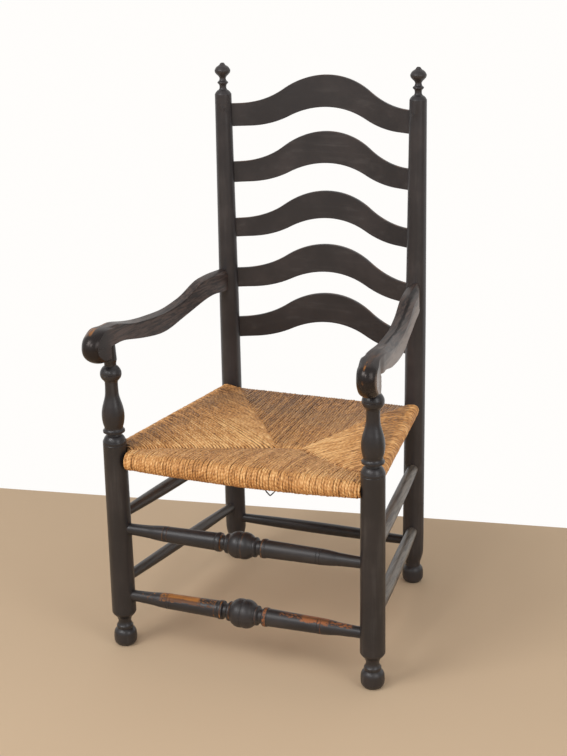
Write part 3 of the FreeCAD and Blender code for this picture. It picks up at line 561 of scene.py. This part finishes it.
def with_rings(wear, rings):
    """The same mask with worn rings round the stretcher."""
    def both(on):
        g = on.g
        x = g.parts(on.place)[0]
        broken = g.step(g.noise(on.place, *RING_NOISE), *RING_BREAKS)
        found = [wear(on)]
        for start, end, strength in rings:
            found.append(g.product(g.band(x, start, end, RING_EDGE), broken, strength))
        return g.most(*found)
    return both


def rung_wood(on):
    """The bare wood of the lower front stretcher, redder on its right half."""
    g = on.g
    return g.mix(g.step(g.parts(on.place)[0], *RUNG_WOOD_CHANGE), BARE_WOOD, RED_WOOD)


def right_grip_wear(on):
    """A thin bare streak over the middle of the right grip, a faint one under its nose and a rubbed top."""
    g = on.g
    x, y, z = g.parts(on.place)
    up = g.parts(on.normal)[2]
    line = g.total(x, g.centred(g.noise(on.place, *WOBBLE_NOISE), RIGHT_WOBBLE))
    torn = g.step(g.noise(g.stretch(on.place, TORN), *STREAK_NOISE), *RIGHT_TORN)
    at = RIGHT_STREAK
    streak = g.product(g.band(line, *at["x"]), g.band(y, *at["y"]), g.step(up, *at["up"]), at["share"])
    at = RIGHT_NOSE
    nose = g.product(g.band(line, *at["x"]), g.band(z, *at["z"]), g.step(y, *at["front"]), at["share"])
    at = RIGHT_RUB
    rub = g.product(g.band(x, *at["x"]), g.band(y, *at["y"]), g.step(up, *at["up"]), at["share"])
    return g.product(g.most(streak, nose, rub), torn)


def left_grip_wear(on):
    """Bare wood over the outer top edge of the left grip, and a thin line on behind it."""
    g = on.g
    x, y, _ = g.parts(on.place)
    up = g.parts(on.normal)[2]
    torn = g.noise(g.stretch(on.place, TORN_COARSE), *COARSE_NOISE)
    found = []
    for at in (LEFT_PATCH, LEFT_LINE):
        here = g.product(g.band(x, *at["x"]), g.band(y, *at["y"]))
        found.append(g.product(here, g.step(torn, *at["torn"]), at["share"]))
    return g.product(g.most(*found), g.step(up, *LEFT_UP))


def outer_side_dust_and_light(on):
    """The dusty outer side of the right arm, painted lighter where it faces right as painted light and
    sheen, streaked along it, darker just under its top's edge.
    """
    g = on.g
    _, y, z = g.parts(on.place)
    streak = g.noise(g.stretch(on.place, SIDE_STREAKS), *STREAK_NOISE)
    edge = SIDE_TOP
    for start, end, rise in (SIDE_TOP_REAR, SIDE_TOP_FRONT):
        edge = g.total(edge, g.product(g.step(y, start, end), rise))
    depth = g.math("SUBTRACT", edge, z)
    share = g.total(g.step(depth, *SIDE_FADE), g.centred(streak, SIDE_STREAK_SHARE), SIDE_DARKER)
    tone = g.mix(g.step(share, 0.0, 1.0), *ARM_SIDE_DUST_AND_LIGHT)
    return g.product(g.step(g.parts(on.normal)[0], *SIDE_FACING), SIDE_SHARE), tone


def top_streaks(on):
    """Brown and grey streaks along the top of an arm."""
    g = on.g
    streak = g.noise(g.stretch(on.place, TOP_STREAKS), *TOP_NOISE)
    behind = g.step(g.parts(on.place)[1], *TOP_START)
    return g.product(behind, TOP_SHARE), g.mix(g.step(streak, *TOP_BLEND), *ARM_TOP)


def crease_line(g, x, y):
    """A number that is CREASE_LINE on the right arm's crease, and in metres across it."""
    return g.total(x, g.product(y, CREASE_SLOPE))


def right_crease_shade_and_dirt(on):
    """The dark line along the edge between the top and the outer side of the right arm: painted shade in
    the crease, with dirt.
    """
    g = on.g
    x, y, _ = g.parts(on.place)
    wobble = g.centred(g.noise(on.place, *CREASE_NOISE), CREASE_WOBBLE)
    line = g.total(crease_line(g, x, y), wobble)
    away = g.math("ABSOLUTE", g.math("SUBTRACT", line, CREASE_LINE))
    reach = g.total(CREASE_WIDTH, g.product(g.step(y, *CREASE_REAR), CREASE_WIDENING))
    here = g.product(g.step(away, reach, CREASE_CORE), g.band(y, *CREASE_SPAN))
    return g.product(here, g.step(g.parts(on.normal)[2], *CREASE_UP), CREASE_SHARE), SOOT_AND_SHADE


def pale_chip(on):
    """The pale worn spot where the right arm's crease ends above the grip."""
    g = on.g
    x, y, _ = g.parts(on.place)
    here = g.product(g.band(crease_line(g, x, y), *CHIP["line"]), g.band(y, *CHIP["y"]))
    return g.product(here, g.step(on.fibre, *CHIP["fibre"]), CHIP["share"]), PALE_CHIP


def grip_front(on):
    """1 on the handled front of a grip."""
    return on.g.step(on.g.parts(on.place)[1], *GRIP_FRONT)


def dark_grip(on):
    """The handled front of an arm's grip, blacker than the rest."""
    return on.g.product(grip_front(on), GRIP_DARKNESS), SOOT_AND_SHADE


def grip_gloss(on):
    """How much smoother the handled grip is."""
    return on.g.product(grip_front(on), GRIP_GLOSS)


def upper_dust_and_light(share):
    """Dust and painted light on the upper part of a side stretcher, which faces up and to the right, with a
    darker streak.
    """
    def mark(on):
        g = on.g
        way = g.parts(on.normal)
        facing = g.weighed((way[2], way[0]), DUST_AND_LIGHT_FACING_SHARES)
        streak = g.noise(g.stretch(on.place, RUNG_STREAKS), *STREAK_NOISE)
        tone = g.mix(g.step(streak, *DUST_AND_LIGHT_BLEND), *RUNG_DUST_AND_LIGHT)
        return g.product(g.step(facing, *DUST_AND_LIGHT_FACING), share), tone
    return mark


# Light above 1 makes the rear posts, pegs, slats and arms lighter copies of the same paint: painted
# reflected light
ARM_LOOK = {"gloss": grip_gloss, "sheen": WARM_SHEEN, "shine": 0.38, "light": 1.2}

post_paint = paint("post_paint", UPRIGHT, light=1.34)
front_post_paint = paint("front_post_paint", UPRIGHT, dust=0.55, polish=0.06)
slat_paint = paint("slat_paint", ACROSS, slat_wear, WORN_BROWN, light=1.36)
arm_paint = {
    "left": paint("arm_paint_left", FORWARD, left_grip_wear, marks=(top_streaks, dark_grip), **ARM_LOOK),
    "right": paint("arm_paint_right", FORWARD, right_grip_wear, matt=right_crease_shade_and_dirt,
                   marks=(top_streaks, dark_grip, outer_side_dust_and_light, right_crease_shade_and_dirt, pale_chip), **ARM_LOOK),
}
side_paint = {
    "left": paint("side_stretcher_paint_left", FORWARD, marks=(upper_dust_and_light(0.22),)),
    "right": paint("side_stretcher_paint_right", FORWARD, marks=(upper_dust_and_light(0.80),)),
}
rear_rung_paint = paint("rear_stretcher_paint", ACROSS)
upper_wear = with_rings(rung_patches(UPPER_PATCHES), UPPER_RINGS)
upper_rung_paint = paint("upper_stretcher_paint", ACROSS, upper_wear)
lower_rung_paint = paint(
    "lower_stretcher_paint", ACROSS, with_rings(rung_patches(LOWER_PATCHES), LOWER_RINGS), rung_wood)


def bare_rail():
    """Pale riven wood."""
    g = Graph("rail_wood")
    fibre = g.noise(g.stretch(g.place(), RIVEN_GRAIN), *FIBRE_NOISE)
    return g.finish(g.mix(fibre, *RIVEN_WOOD), RIVEN_ROUGHNESS, fibre, RIVEN_RELIEF)


rail_wood = bare_rail()


def dress(node, material):
    """Give a CAD node a material."""
    mesh = NODES[node].data
    mesh.materials.clear()
    mesh.materials.append(material)


for side in ("left", "right"):
    dress(f"front_post_{side}", front_post_paint)
    dress(f"rear_post_{side}", post_paint)
    dress(f"arm_{side}", arm_paint[side])
    dress(f"slat_peg_{side}", post_paint)
    for level in ("upper", "lower"):
        dress(f"side_stretcher_{side}_{level}", side_paint[side])
for number in range(1, 6):
    dress(f"slat_{number}", slat_paint)
for rail in ("front", "rear", "left", "right"):
    dress(f"seat_rail_{rail}", rail_wood)
dress("rear_stretcher", rear_rung_paint)
dress("front_stretcher_upper", upper_rung_paint)
dress("front_stretcher_lower", lower_rung_paint)


def rush_material():
    """Twisted rush: golden and brown strands, with the lines of their twist and dry fibres."""
    g = Graph("rush_twist")
    place = g.place()
    along = g.attribute("strand_along")
    around = g.attribute("strand_around")
    tint = g.attribute("strand_tint")
    hand = g.attribute("strand_hand")
    tone = g.attribute("strand_tone")
    cloud = g.noise(place, *RUSH_CLOUDS)

    def drawn(rate, spread, mixing, detail, roughness):
        """Noise drawn out along each strand, different on each of them."""
        spot = g.vector(g.product(along, rate), g.product(around, spread), g.product(tint, mixing))
        return g.noise(spot, 1.0, detail, roughness)

    drift = g.product(g.noise(place, *DRIFT_NOISE), TWIST_DRIFT)
    turn = g.total(g.product(along, 1.0 / TWIST_LENGTH), g.product(around, hand, TWIST_TURNS))
    turns = g.product(turn, math.tau)
    twist = g.math("SINE", g.total(turns, drift, g.product(tint, TWIST_PHASE)))
    streak = drawn(*STREAK_DRAWN)
    dash = drawn(*DASH_DRAWN)
    # The twist term paints a highlight on each twist's ridge and shade in its groove
    value = g.total(
        g.centred(streak, STREAK_SHARE),
        g.centred(dash, DASH_SHARE),
        g.centred(tint, TINT_SHARE),
        g.centred(cloud, CLOUD_SHARE),
        g.product(twist, TWIST_SHARE),
        g.product(g.math("SUBTRACT", tone, 1.0), TONE_SHARE),
        RUSH_LIGHTNESS)
    colour = g.mix(g.step(value, *GOLD_FROM), RUSH_DARK, RUSH_GOLD)
    colour = g.mix(g.step(value, *PALE_FROM), colour, RUSH_PALE)

    # Painted shade with dirt between the strands: each strand is darker towards its neighbours, in places
    # more than in others
    crown = g.math("ABSOLUTE", g.math("SINE", g.product(around, math.tau)))
    edge = g.math("SUBTRACT", 1.0, g.step(crown, *CROWN))
    rates = BROKEN_RATES
    broken = g.noise(g.vector(g.product(along, rates[0]), g.product(tint, rates[1]), 0.0), *BROKEN_NOISE)
    depth = g.total(GAP_SHADE_SHARES[0], g.product(g.step(broken, *GAP_SHADE_BREAKS), GAP_SHADE_SHARES[1]))
    gap = g.product(edge, depth)
    colour = g.mix(gap, colour, RUSH_GAP_SHADE)

    # The panels with a low tone are greyer, and the loose strand is nearly black
    grey = g.product(g.step(tone, *GREY_TONES), g.step(cloud, *GREY_CLOUDS), GREY_SHARE)
    colour = g.mix(grey, colour, RUSH_GREY)
    colour = g.mix(g.step(tone, *BLACK_TONES), colour, RUSH_BLACK)

    roughness = g.total(RUSH_ROUGHNESS, g.product(streak, STREAK_ROUGHNESS))
    spot = g.vector(*(g.product(part, rate) for part, rate in zip((turns, around, tint), FINE_RATES)))
    height = g.weighed((twist, streak, g.noise(spot, *FINE_NOISE)), RUSH_HEIGHT_SHARES)
    return g.finish(colour, roughness, height, RUSH_RELIEF, RUSH_SHINE)


rush = rush_material()


def between(a, b, share):
    """A number that share of the way from a to b."""
    return a + (b - a) * share


def listed(values, share):
    """A number read from an even list of them."""
    place = min(max(share, 0.0), 1.0) * (len(values) - 1)
    index = min(int(place), len(values) - 2)
    return between(values[index], values[index + 1], place - index)


def wander(*place):
    """Smooth noise about zero."""
    return noise.noise(Vector(place))


def jitter():
    """A small random shift along a rail."""
    return RANDOM.uniform(-PITCH_JITTER, PITCH_JITTER)


def spaced(start, end):
    """Places from start to end about a pitch apart, slightly uneven."""
    count = round(abs(end - start) / STRAND_PITCH)
    return [between(start, end, (index + 0.5) / count) + jitter() for index in range(count)]


def crossing(a, b, line):
    """Where a step from a to b in plan crosses a seam: the share of the step and the seam's height
    there, or None."""
    for c, d in zip(line, line[1:]):
        step = (b[0] - a[0], b[1] - a[1])
        seam = (d[0] - c[0], d[1] - c[1])
        away = (c[0] - a[0], c[1] - a[1])
        across = step[0] * seam[1] - step[1] * seam[0]
        if not across:
            continue
        share = (away[0] * seam[1] - away[1] * seam[0]) / across
        place = (away[0] * step[1] - away[1] * step[0]) / across
        if 0 <= share <= 1 and 0 <= place <= 1:
            return share, between(c[2], d[2], place)
    return None


def fan_out(inward):
    """How much of its slant a strand has taken up at a distance inward of its rail."""
    return math.hypot(max(inward, 0.0), SLANT_START) - SLANT_START


class Route:
    """The way of a strand in plan: from a point on a rail's axis, inwards, with a slant forward."""

    def __init__(self, start, way, forward=(1, 0), slant=0.0):
        self.start = start
        self.way = way
        self.forward = forward
        self.slant = slant
        self.side = Vector((-way[1], way[0], 0.0))

    def point(self, inward):
        """A place in plan."""
        shift = math.tan(self.slant) * fan_out(inward)
        return tuple(self.start[i] + self.way[i] * inward + self.forward[i] * shift for i in range(2))

    def seam(self, seams):
        """How far inward the strand meets a seam, and the seam's height there, or None."""
        inward = 0.0
        while inward < LONGEST_STRAND:
            after = inward + STRAND_STEP
            a, b = self.point(inward), self.point(after)
            hits = [hit for hit in (crossing(a, b, seam) for seam in seams) if hit]
            if hits:
                share, height = min(hits)
                return between(inward, after, share), height
            inward = after
        return None


def strand_path(length, seam_height, rail_height, roll, lift):
    """A strand's line in its own upright plane, from the top seam round the rail to the bottom seam:
    (inward, height) for its points, and how many of them are on top of the seat."""
    top = rail_height + roll
    seam = seam_height + lift
    points = [(length + past, seam - below) for past, below in SEAM_TUCK]
    count = max(2, round(length / STRAND_STEP))
    for index in range(1, count + 1):
        inward = between(max(length - FALL_START, length / 2), 0.0, index / count)
        points.append((inward, top - (top - seam) * (inward / length) ** PANEL_FALL))
    top_count = len(points)
    arc = max(LEAST_ARC, round(math.pi * roll / STRAND_STEP))
    for index in range(1, arc + 1):
        angle = math.pi / 2 + math.pi * index / arc
        points.append((roll * math.cos(angle), rail_height + roll * math.sin(angle)))
    low = rail_height - roll
    under = min(seam_height - WEB_DEPTH, low + UNDER_RISE)
    for index in range(1, count + 1):
        points.append((length * index / count, between(low, under, (index / count) ** PANEL_FALL)))
    points.append((length + UNDER_TUCK[0], under + UNDER_TUCK[1]))
    return points, top_count


def strand_tone(tone, inward, length, on_top):
    """How light a strand is at a distance inward of its rail."""
    if not on_top:
        return tone.roll
    inward = max(0.0, inward)
    shade = between(tone.rail, tone.far, min(1.0, inward / TONE_REACH))
    if inward < ROLL_EDGE:
        shade = between(tone.roll, shade, inward / ROLL_EDGE)
    return shade + tone.seam * (inward / length) ** SEAM_FADE


def clear_of_posts(point):
    """Whether a point of a strand is outside the four posts."""
    for half, y, radius in POSTS:
        gap = math.hypot(abs(point.x) - half, point.y - y) - radius
        if gap < STRAND_THICKNESS * POST_GAP_SHARE:
            return False
    return True


class Weave:
    """Gathers strands into one mesh."""

    def __init__(self):
        self.points = []
        self.faces = []
        self.layers = {"strand_along": [], "strand_around": [], "strand_tint": [], "strand_hand": [],
                       "strand_tone": []}
        self.count = 0

    def strand(self, path, normals, sides, tones, tint, hand, widths, thickness, pace=1.0):
        """A tube along 3-D points, flattened against the seat, with its ends closed. Its marks follow
        each other faster with a higher pace."""
        first = len(self.points)
        run = 0.0
        last = len(path) - 1
        for index, (point, normal) in enumerate(zip(path, normals)):
            if index:
                run += (path[index] - path[index - 1]).length
            taper = END_TAPER if index in (0, last) else 1.0
            swell = 1.0 + SWELL * wander(self.count * SWELL_SEED[0], run * SWELL_RATE, SWELL_SEED[1])
            for corner in range(STRAND_SIDES):
                angle = math.tau * corner / STRAND_SIDES
                offset = sides[index] * (widths[index] * swell * taper * math.cos(angle))
                offset += normal * (thickness * taper * math.sin(angle))
                self.points.append(point + offset)
                marks = (run * pace, corner / STRAND_SIDES, tint, hand, tones[index])
                for layer, value in zip(self.layers.values(), marks):
                    layer.append(value)
        for ring in range(last):
            base = first + ring * STRAND_SIDES
            for corner in range(STRAND_SIDES):
                after = (corner + 1) % STRAND_SIDES
                near, far = base + corner, base + after
                self.faces.append((near, far, far + STRAND_SIDES, near + STRAND_SIDES))
        end = first + last * STRAND_SIDES
        self.faces.append(tuple(range(first, first + STRAND_SIDES))[::-1])
        self.faces.append(tuple(range(end, end + STRAND_SIDES)))
        self.count += 1

    def lay(self, route, rail, hit, lift, tone, hand, fan=0.0, pace=1.0):
        """A strand of the seat along a route. Its rail is (axis height, roll radius), its hit is
        (length, seam height), and its width grows inwards by fan, as its neighbours spread."""
        tint = RANDOM.random()
        length, seam_height = hit
        line, top_count = strand_path(length, seam_height, *rail, lift)
        path, tones, spreads = [], [], []
        for index, (inward, height) in enumerate(line):
            at = inward * SWAY_RATES[0] + height * SWAY_RATES[1]
            sway = SWAY * wander(self.count * SWAY_SEED[0], at, SWAY_SEED[1])
            rise = RISE * wander(self.count * RISE_SEED[0], (inward + height) * RISE_RATE, RISE_SEED[1])
            point = Vector((*route.point(inward), height + rise)) + route.side * sway
            if clear_of_posts(point):
                path.append(point)
                tones.append(strand_tone(tone, inward, length, index < top_count))
                spreads.append(min(SPREAD_LIMITS[1], max(SPREAD_LIMITS[0], 1.0 + fan * fan_out(inward))))
        if len(path) < LEAST_POINTS:
            return
        normals, sides = [], []
        for index in range(len(path)):
            before = path[max(0, index - 1)]
            after = path[min(len(path) - 1, index + 1)]
            tangent = (after - before).normalized()
            normal = route.side.cross(tangent).normalized()
            normals.append(normal)
            sides.append(tangent.cross(normal))
        width = STRAND_WIDTH * RANDOM.uniform(*WIDTH_RANGE)
        thickness = STRAND_THICKNESS * RANDOM.uniform(*THICKNESS_RANGE)
        widths = [width * spread for spread in spreads]
        self.strand(path, normals, sides, tones, tint, hand, widths, thickness, pace)

    def build(self, name, material):
        """The mesh object."""
        mesh = bpy.data.meshes.new(name)
        mesh.from_pydata(self.points, [], self.faces)
        for key, values in self.layers.items():
            mesh.attributes.new(key, "FLOAT", "POINT").data.foreach_set("value", values)
        mesh.polygons.foreach_set("use_smooth", [True] * len(mesh.polygons))
        mesh.materials.append(material)
        mesh.update()
        piece = bpy.data.objects.new(name, mesh)
        bpy.context.scene.collection.objects.link(piece)
        return piece


def front_panel(weave):
    """The strands over the front rail, whose roll is thickest in the middle."""
    seams = [SEAMS["front_left"], SEAMS["front_right"], RIDGE]
    for x in spaced(*FRONT_SPAN):
        route = Route((x, FRONT_RAIL_Y), (0, 1))
        hit = route.seam(seams)
        if hit:
            swell = 1 - (x / FRONT_SWELL_HALF) ** 2
            ends = FRONT_ENDS["left" if x < 0 else "right"]
            rail = [between(end, middle, swell) for end, middle in zip(ends, FRONT_MIDDLE)]
            hand = 1 if x < HAND_CHANGE_X else -1
            weave.lay(route, rail, hit, FRONT_LIFT, FRONT_TONE, hand, pace=FRONT_PACE)


def rear_panel(weave):
    """The strands over the rear rail."""
    seams = [SEAMS["rear_left"], SEAMS["rear_right"], RIDGE]
    start, end = REAR_SPAN
    for x in spaced(start, end):
        route = Route((x, REAR_Y), (0, -1))
        hit = route.seam(seams)
        if hit:
            share = (x - start) / (end - start)
            tone = Tone(*(between(*ends, share) for ends in zip(*REAR_TONES)))
            hand = -1 if x < HAND_CHANGE_X else 1
            rail = (between(*REAR_HEIGHTS, share), REAR_ROLL)
            weave.lay(route, rail, hit, 0.0, tone, hand, pace=REAR_PACE)


def side_panel(weave, word, hand):
    """The slanted strands over a side rail, from front to rear."""
    slope = (FRONT_HALF - REAR_HALF) / SEAT_DEPTH
    run = 1 / math.hypot(1, slope)
    way = (hand * run, -slope * run)
    forward = (-hand * slope * run, -run)
    seams = [SEAMS[f"front_{word}"], SEAMS[f"rear_{word}"], RIDGE]
    y, end = SIDE_SPAN
    while y < end:
        share = (y - FRONT_Y) / SEAT_DEPTH
        slant = math.radians(listed(SLANTS[word], share))
        next_slant = math.radians(listed(SLANTS[word], share + FAN_STEP))
        route = Route((-hand * between(FRONT_HALF, REAR_HALF, share), y), way, forward, slant)
        hit = route.seam(seams)
        if hit:
            rail = (between(SIDE_FRONT_HEIGHT, SIDE_REAR_HEIGHTS[word], share), SIDE_ROLL)
            tone = Tone(*(between(*ends, share) for ends in zip(*SIDE_TONES[word])))
            fan = (math.tan(slant) - math.tan(next_slant)) / (FAN_STEP * SEAT_DEPTH)
            weave.lay(route, rail, hit, SIDE_LIFT, tone, hand, fan)
        y += STRAND_PITCH / math.cos(slant) + jitter()


def loose_strand(weave):
    """The thin loop under the front roll."""
    path = [Vector(point) for point in LOOSE_STRAND]
    count = len(path)
    weave.strand(path, [Vector((0, -1, 0))] * count, [Vector((1, 0, 0))] * count, [LOOSE_TONE] * count,
                 LOOSE_TINT, 1, [LOOSE_RADIUS] * count, LOOSE_RADIUS)


def make_rush_seat():
    """The four panels of the seat, each strand laid over its rail."""
    weave = Weave()
    front_panel(weave)
    rear_panel(weave)
    side_panel(weave, "left", 1)
    side_panel(weave, "right", -1)
    loose_strand(weave)
    return weave.build("rush_weave", rush)


seat = make_rush_seat()
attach(seat, "root")
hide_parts("rush_seat")


def aim_camera():
    """The camera, where the photograph was taken from."""
    sin, cos = math.sin, math.cos
    back = Vector((
        sin(CAMERA_AZIMUTH) * cos(CAMERA_ELEVATION),
        -cos(CAMERA_AZIMUTH) * cos(CAMERA_ELEVATION),
        sin(CAMERA_ELEVATION)))
    right = (-back).cross(Vector((0, 0, 1))).normalized()
    up = right.cross(-back)
    across = cos(CAMERA_ROLL) * right + sin(CAMERA_ROLL) * up
    upward = -sin(CAMERA_ROLL) * right + cos(CAMERA_ROLL) * up
    lens = bpy.data.cameras.new("camera")
    lens.lens = CAMERA_LENS
    lens.clip_end = CAMERA_REACH
    camera = bpy.data.objects.new("camera", lens)
    bpy.context.scene.collection.objects.link(camera)
    turn = Matrix((across, upward, back)).transposed().to_4x4()
    turn.translation = CAMERA_PLACE
    camera.matrix_world = turn
    bpy.context.scene.camera = camera


def plain_sheet(name, corners, faces, material):
    """Flat sheets of the stage."""
    mesh = bpy.data.meshes.new(name)
    mesh.from_pydata(corners, [], faces)
    mesh.materials.append(material)
    piece = bpy.data.objects.new(name, mesh)
    bpy.context.scene.collection.objects.link(piece)


def backdrop_material():
    """A white backdrop that shows as white to the camera and in reflections."""
    g = Graph("white_backdrop")
    rays = g.node("ShaderNodeLightPath").outputs
    seen = g.most(rays["Is Camera Ray"], rays["Is Glossy Ray"], rays["Is Transmission Ray"])
    matt = g.node("ShaderNodeBsdfDiffuse", (*BACKDROP_COLOUR, 1.0))
    glow = g.node("ShaderNodeEmission", (*BACKDROP_GLOW, 1.0), 1.0)
    both = g.node("ShaderNodeMixShader", seen, matt.outputs[0], glow.outputs[0])
    g.tree.links.new(both.outputs[0], g.output.inputs[0])
    return g.material


def floor_material():
    """A plain pale floor."""
    g = Graph("pale_floor")
    cloud = g.noise(g.place(), *FLOOR_CLOUDS)
    lighter = tuple(part * FLOOR_VARIATION for part in FLOOR_COLOUR)
    return g.finish(g.mix(cloud, FLOOR_COLOUR, lighter), FLOOR_ROUGHNESS)


def make_stage():
    """A floor, and a white backdrop that starts on it behind the chair and rises far behind."""
    start, end = Vector((*BACKDROP_START, 0)), Vector((*BACKDROP_END, 0))
    way = (end - start).normalized()
    back = Vector((-way.y, way.x, 0))
    middle = (start + end) / 2
    near = [middle - way * STAGE_REACH, middle + way * STAGE_REACH]
    front = [point - back * STAGE_REACH for point in near]
    far = [point + back * BACKDROP_DEPTH for point in near]
    high = [point + Vector((0, 0, BACKDROP_HEIGHT)) for point in far]
    plain_sheet("floor", front + near[::-1], [(0, 1, 2, 3)], floor_material())
    plain_sheet("backdrop", near + far[::-1] + high, [(0, 1, 2, 3), (3, 2, 5, 4)], backdrop_material())


def soft_light(name, place, size, power):
    """A large soft lamp that points at the chair."""
    lamp = bpy.data.lights.new(name, "AREA")
    lamp.energy = power
    lamp.shape = "RECTANGLE"
    lamp.size, lamp.size_y = size
    item = bpy.data.objects.new(name, lamp)
    item.location = place
    item.rotation_mode = "QUATERNION"
    item.rotation_quaternion = (Vector(LAMP_TARGET) - Vector(place)).to_track_quat("-Z", "Y")
    bpy.context.scene.collection.objects.link(item)


def light_scene():
    """Soft daylight from all round, with large lamps in front and above."""
    world = bpy.data.worlds.new("soft_sky")
    world.use_nodes = True
    sky = world.node_tree.nodes["Background"]
    sky.inputs["Color"].default_value = (*SKY_COLOUR, 1.0)
    sky.inputs["Strength"].default_value = SKY_STRENGTH
    bpy.context.scene.world = world
    for lamp in LAMPS:
        soft_light(*lamp)
    bpy.context.scene.view_settings.view_transform = "Standard"


aim_camera()
make_stage()
light_scene()
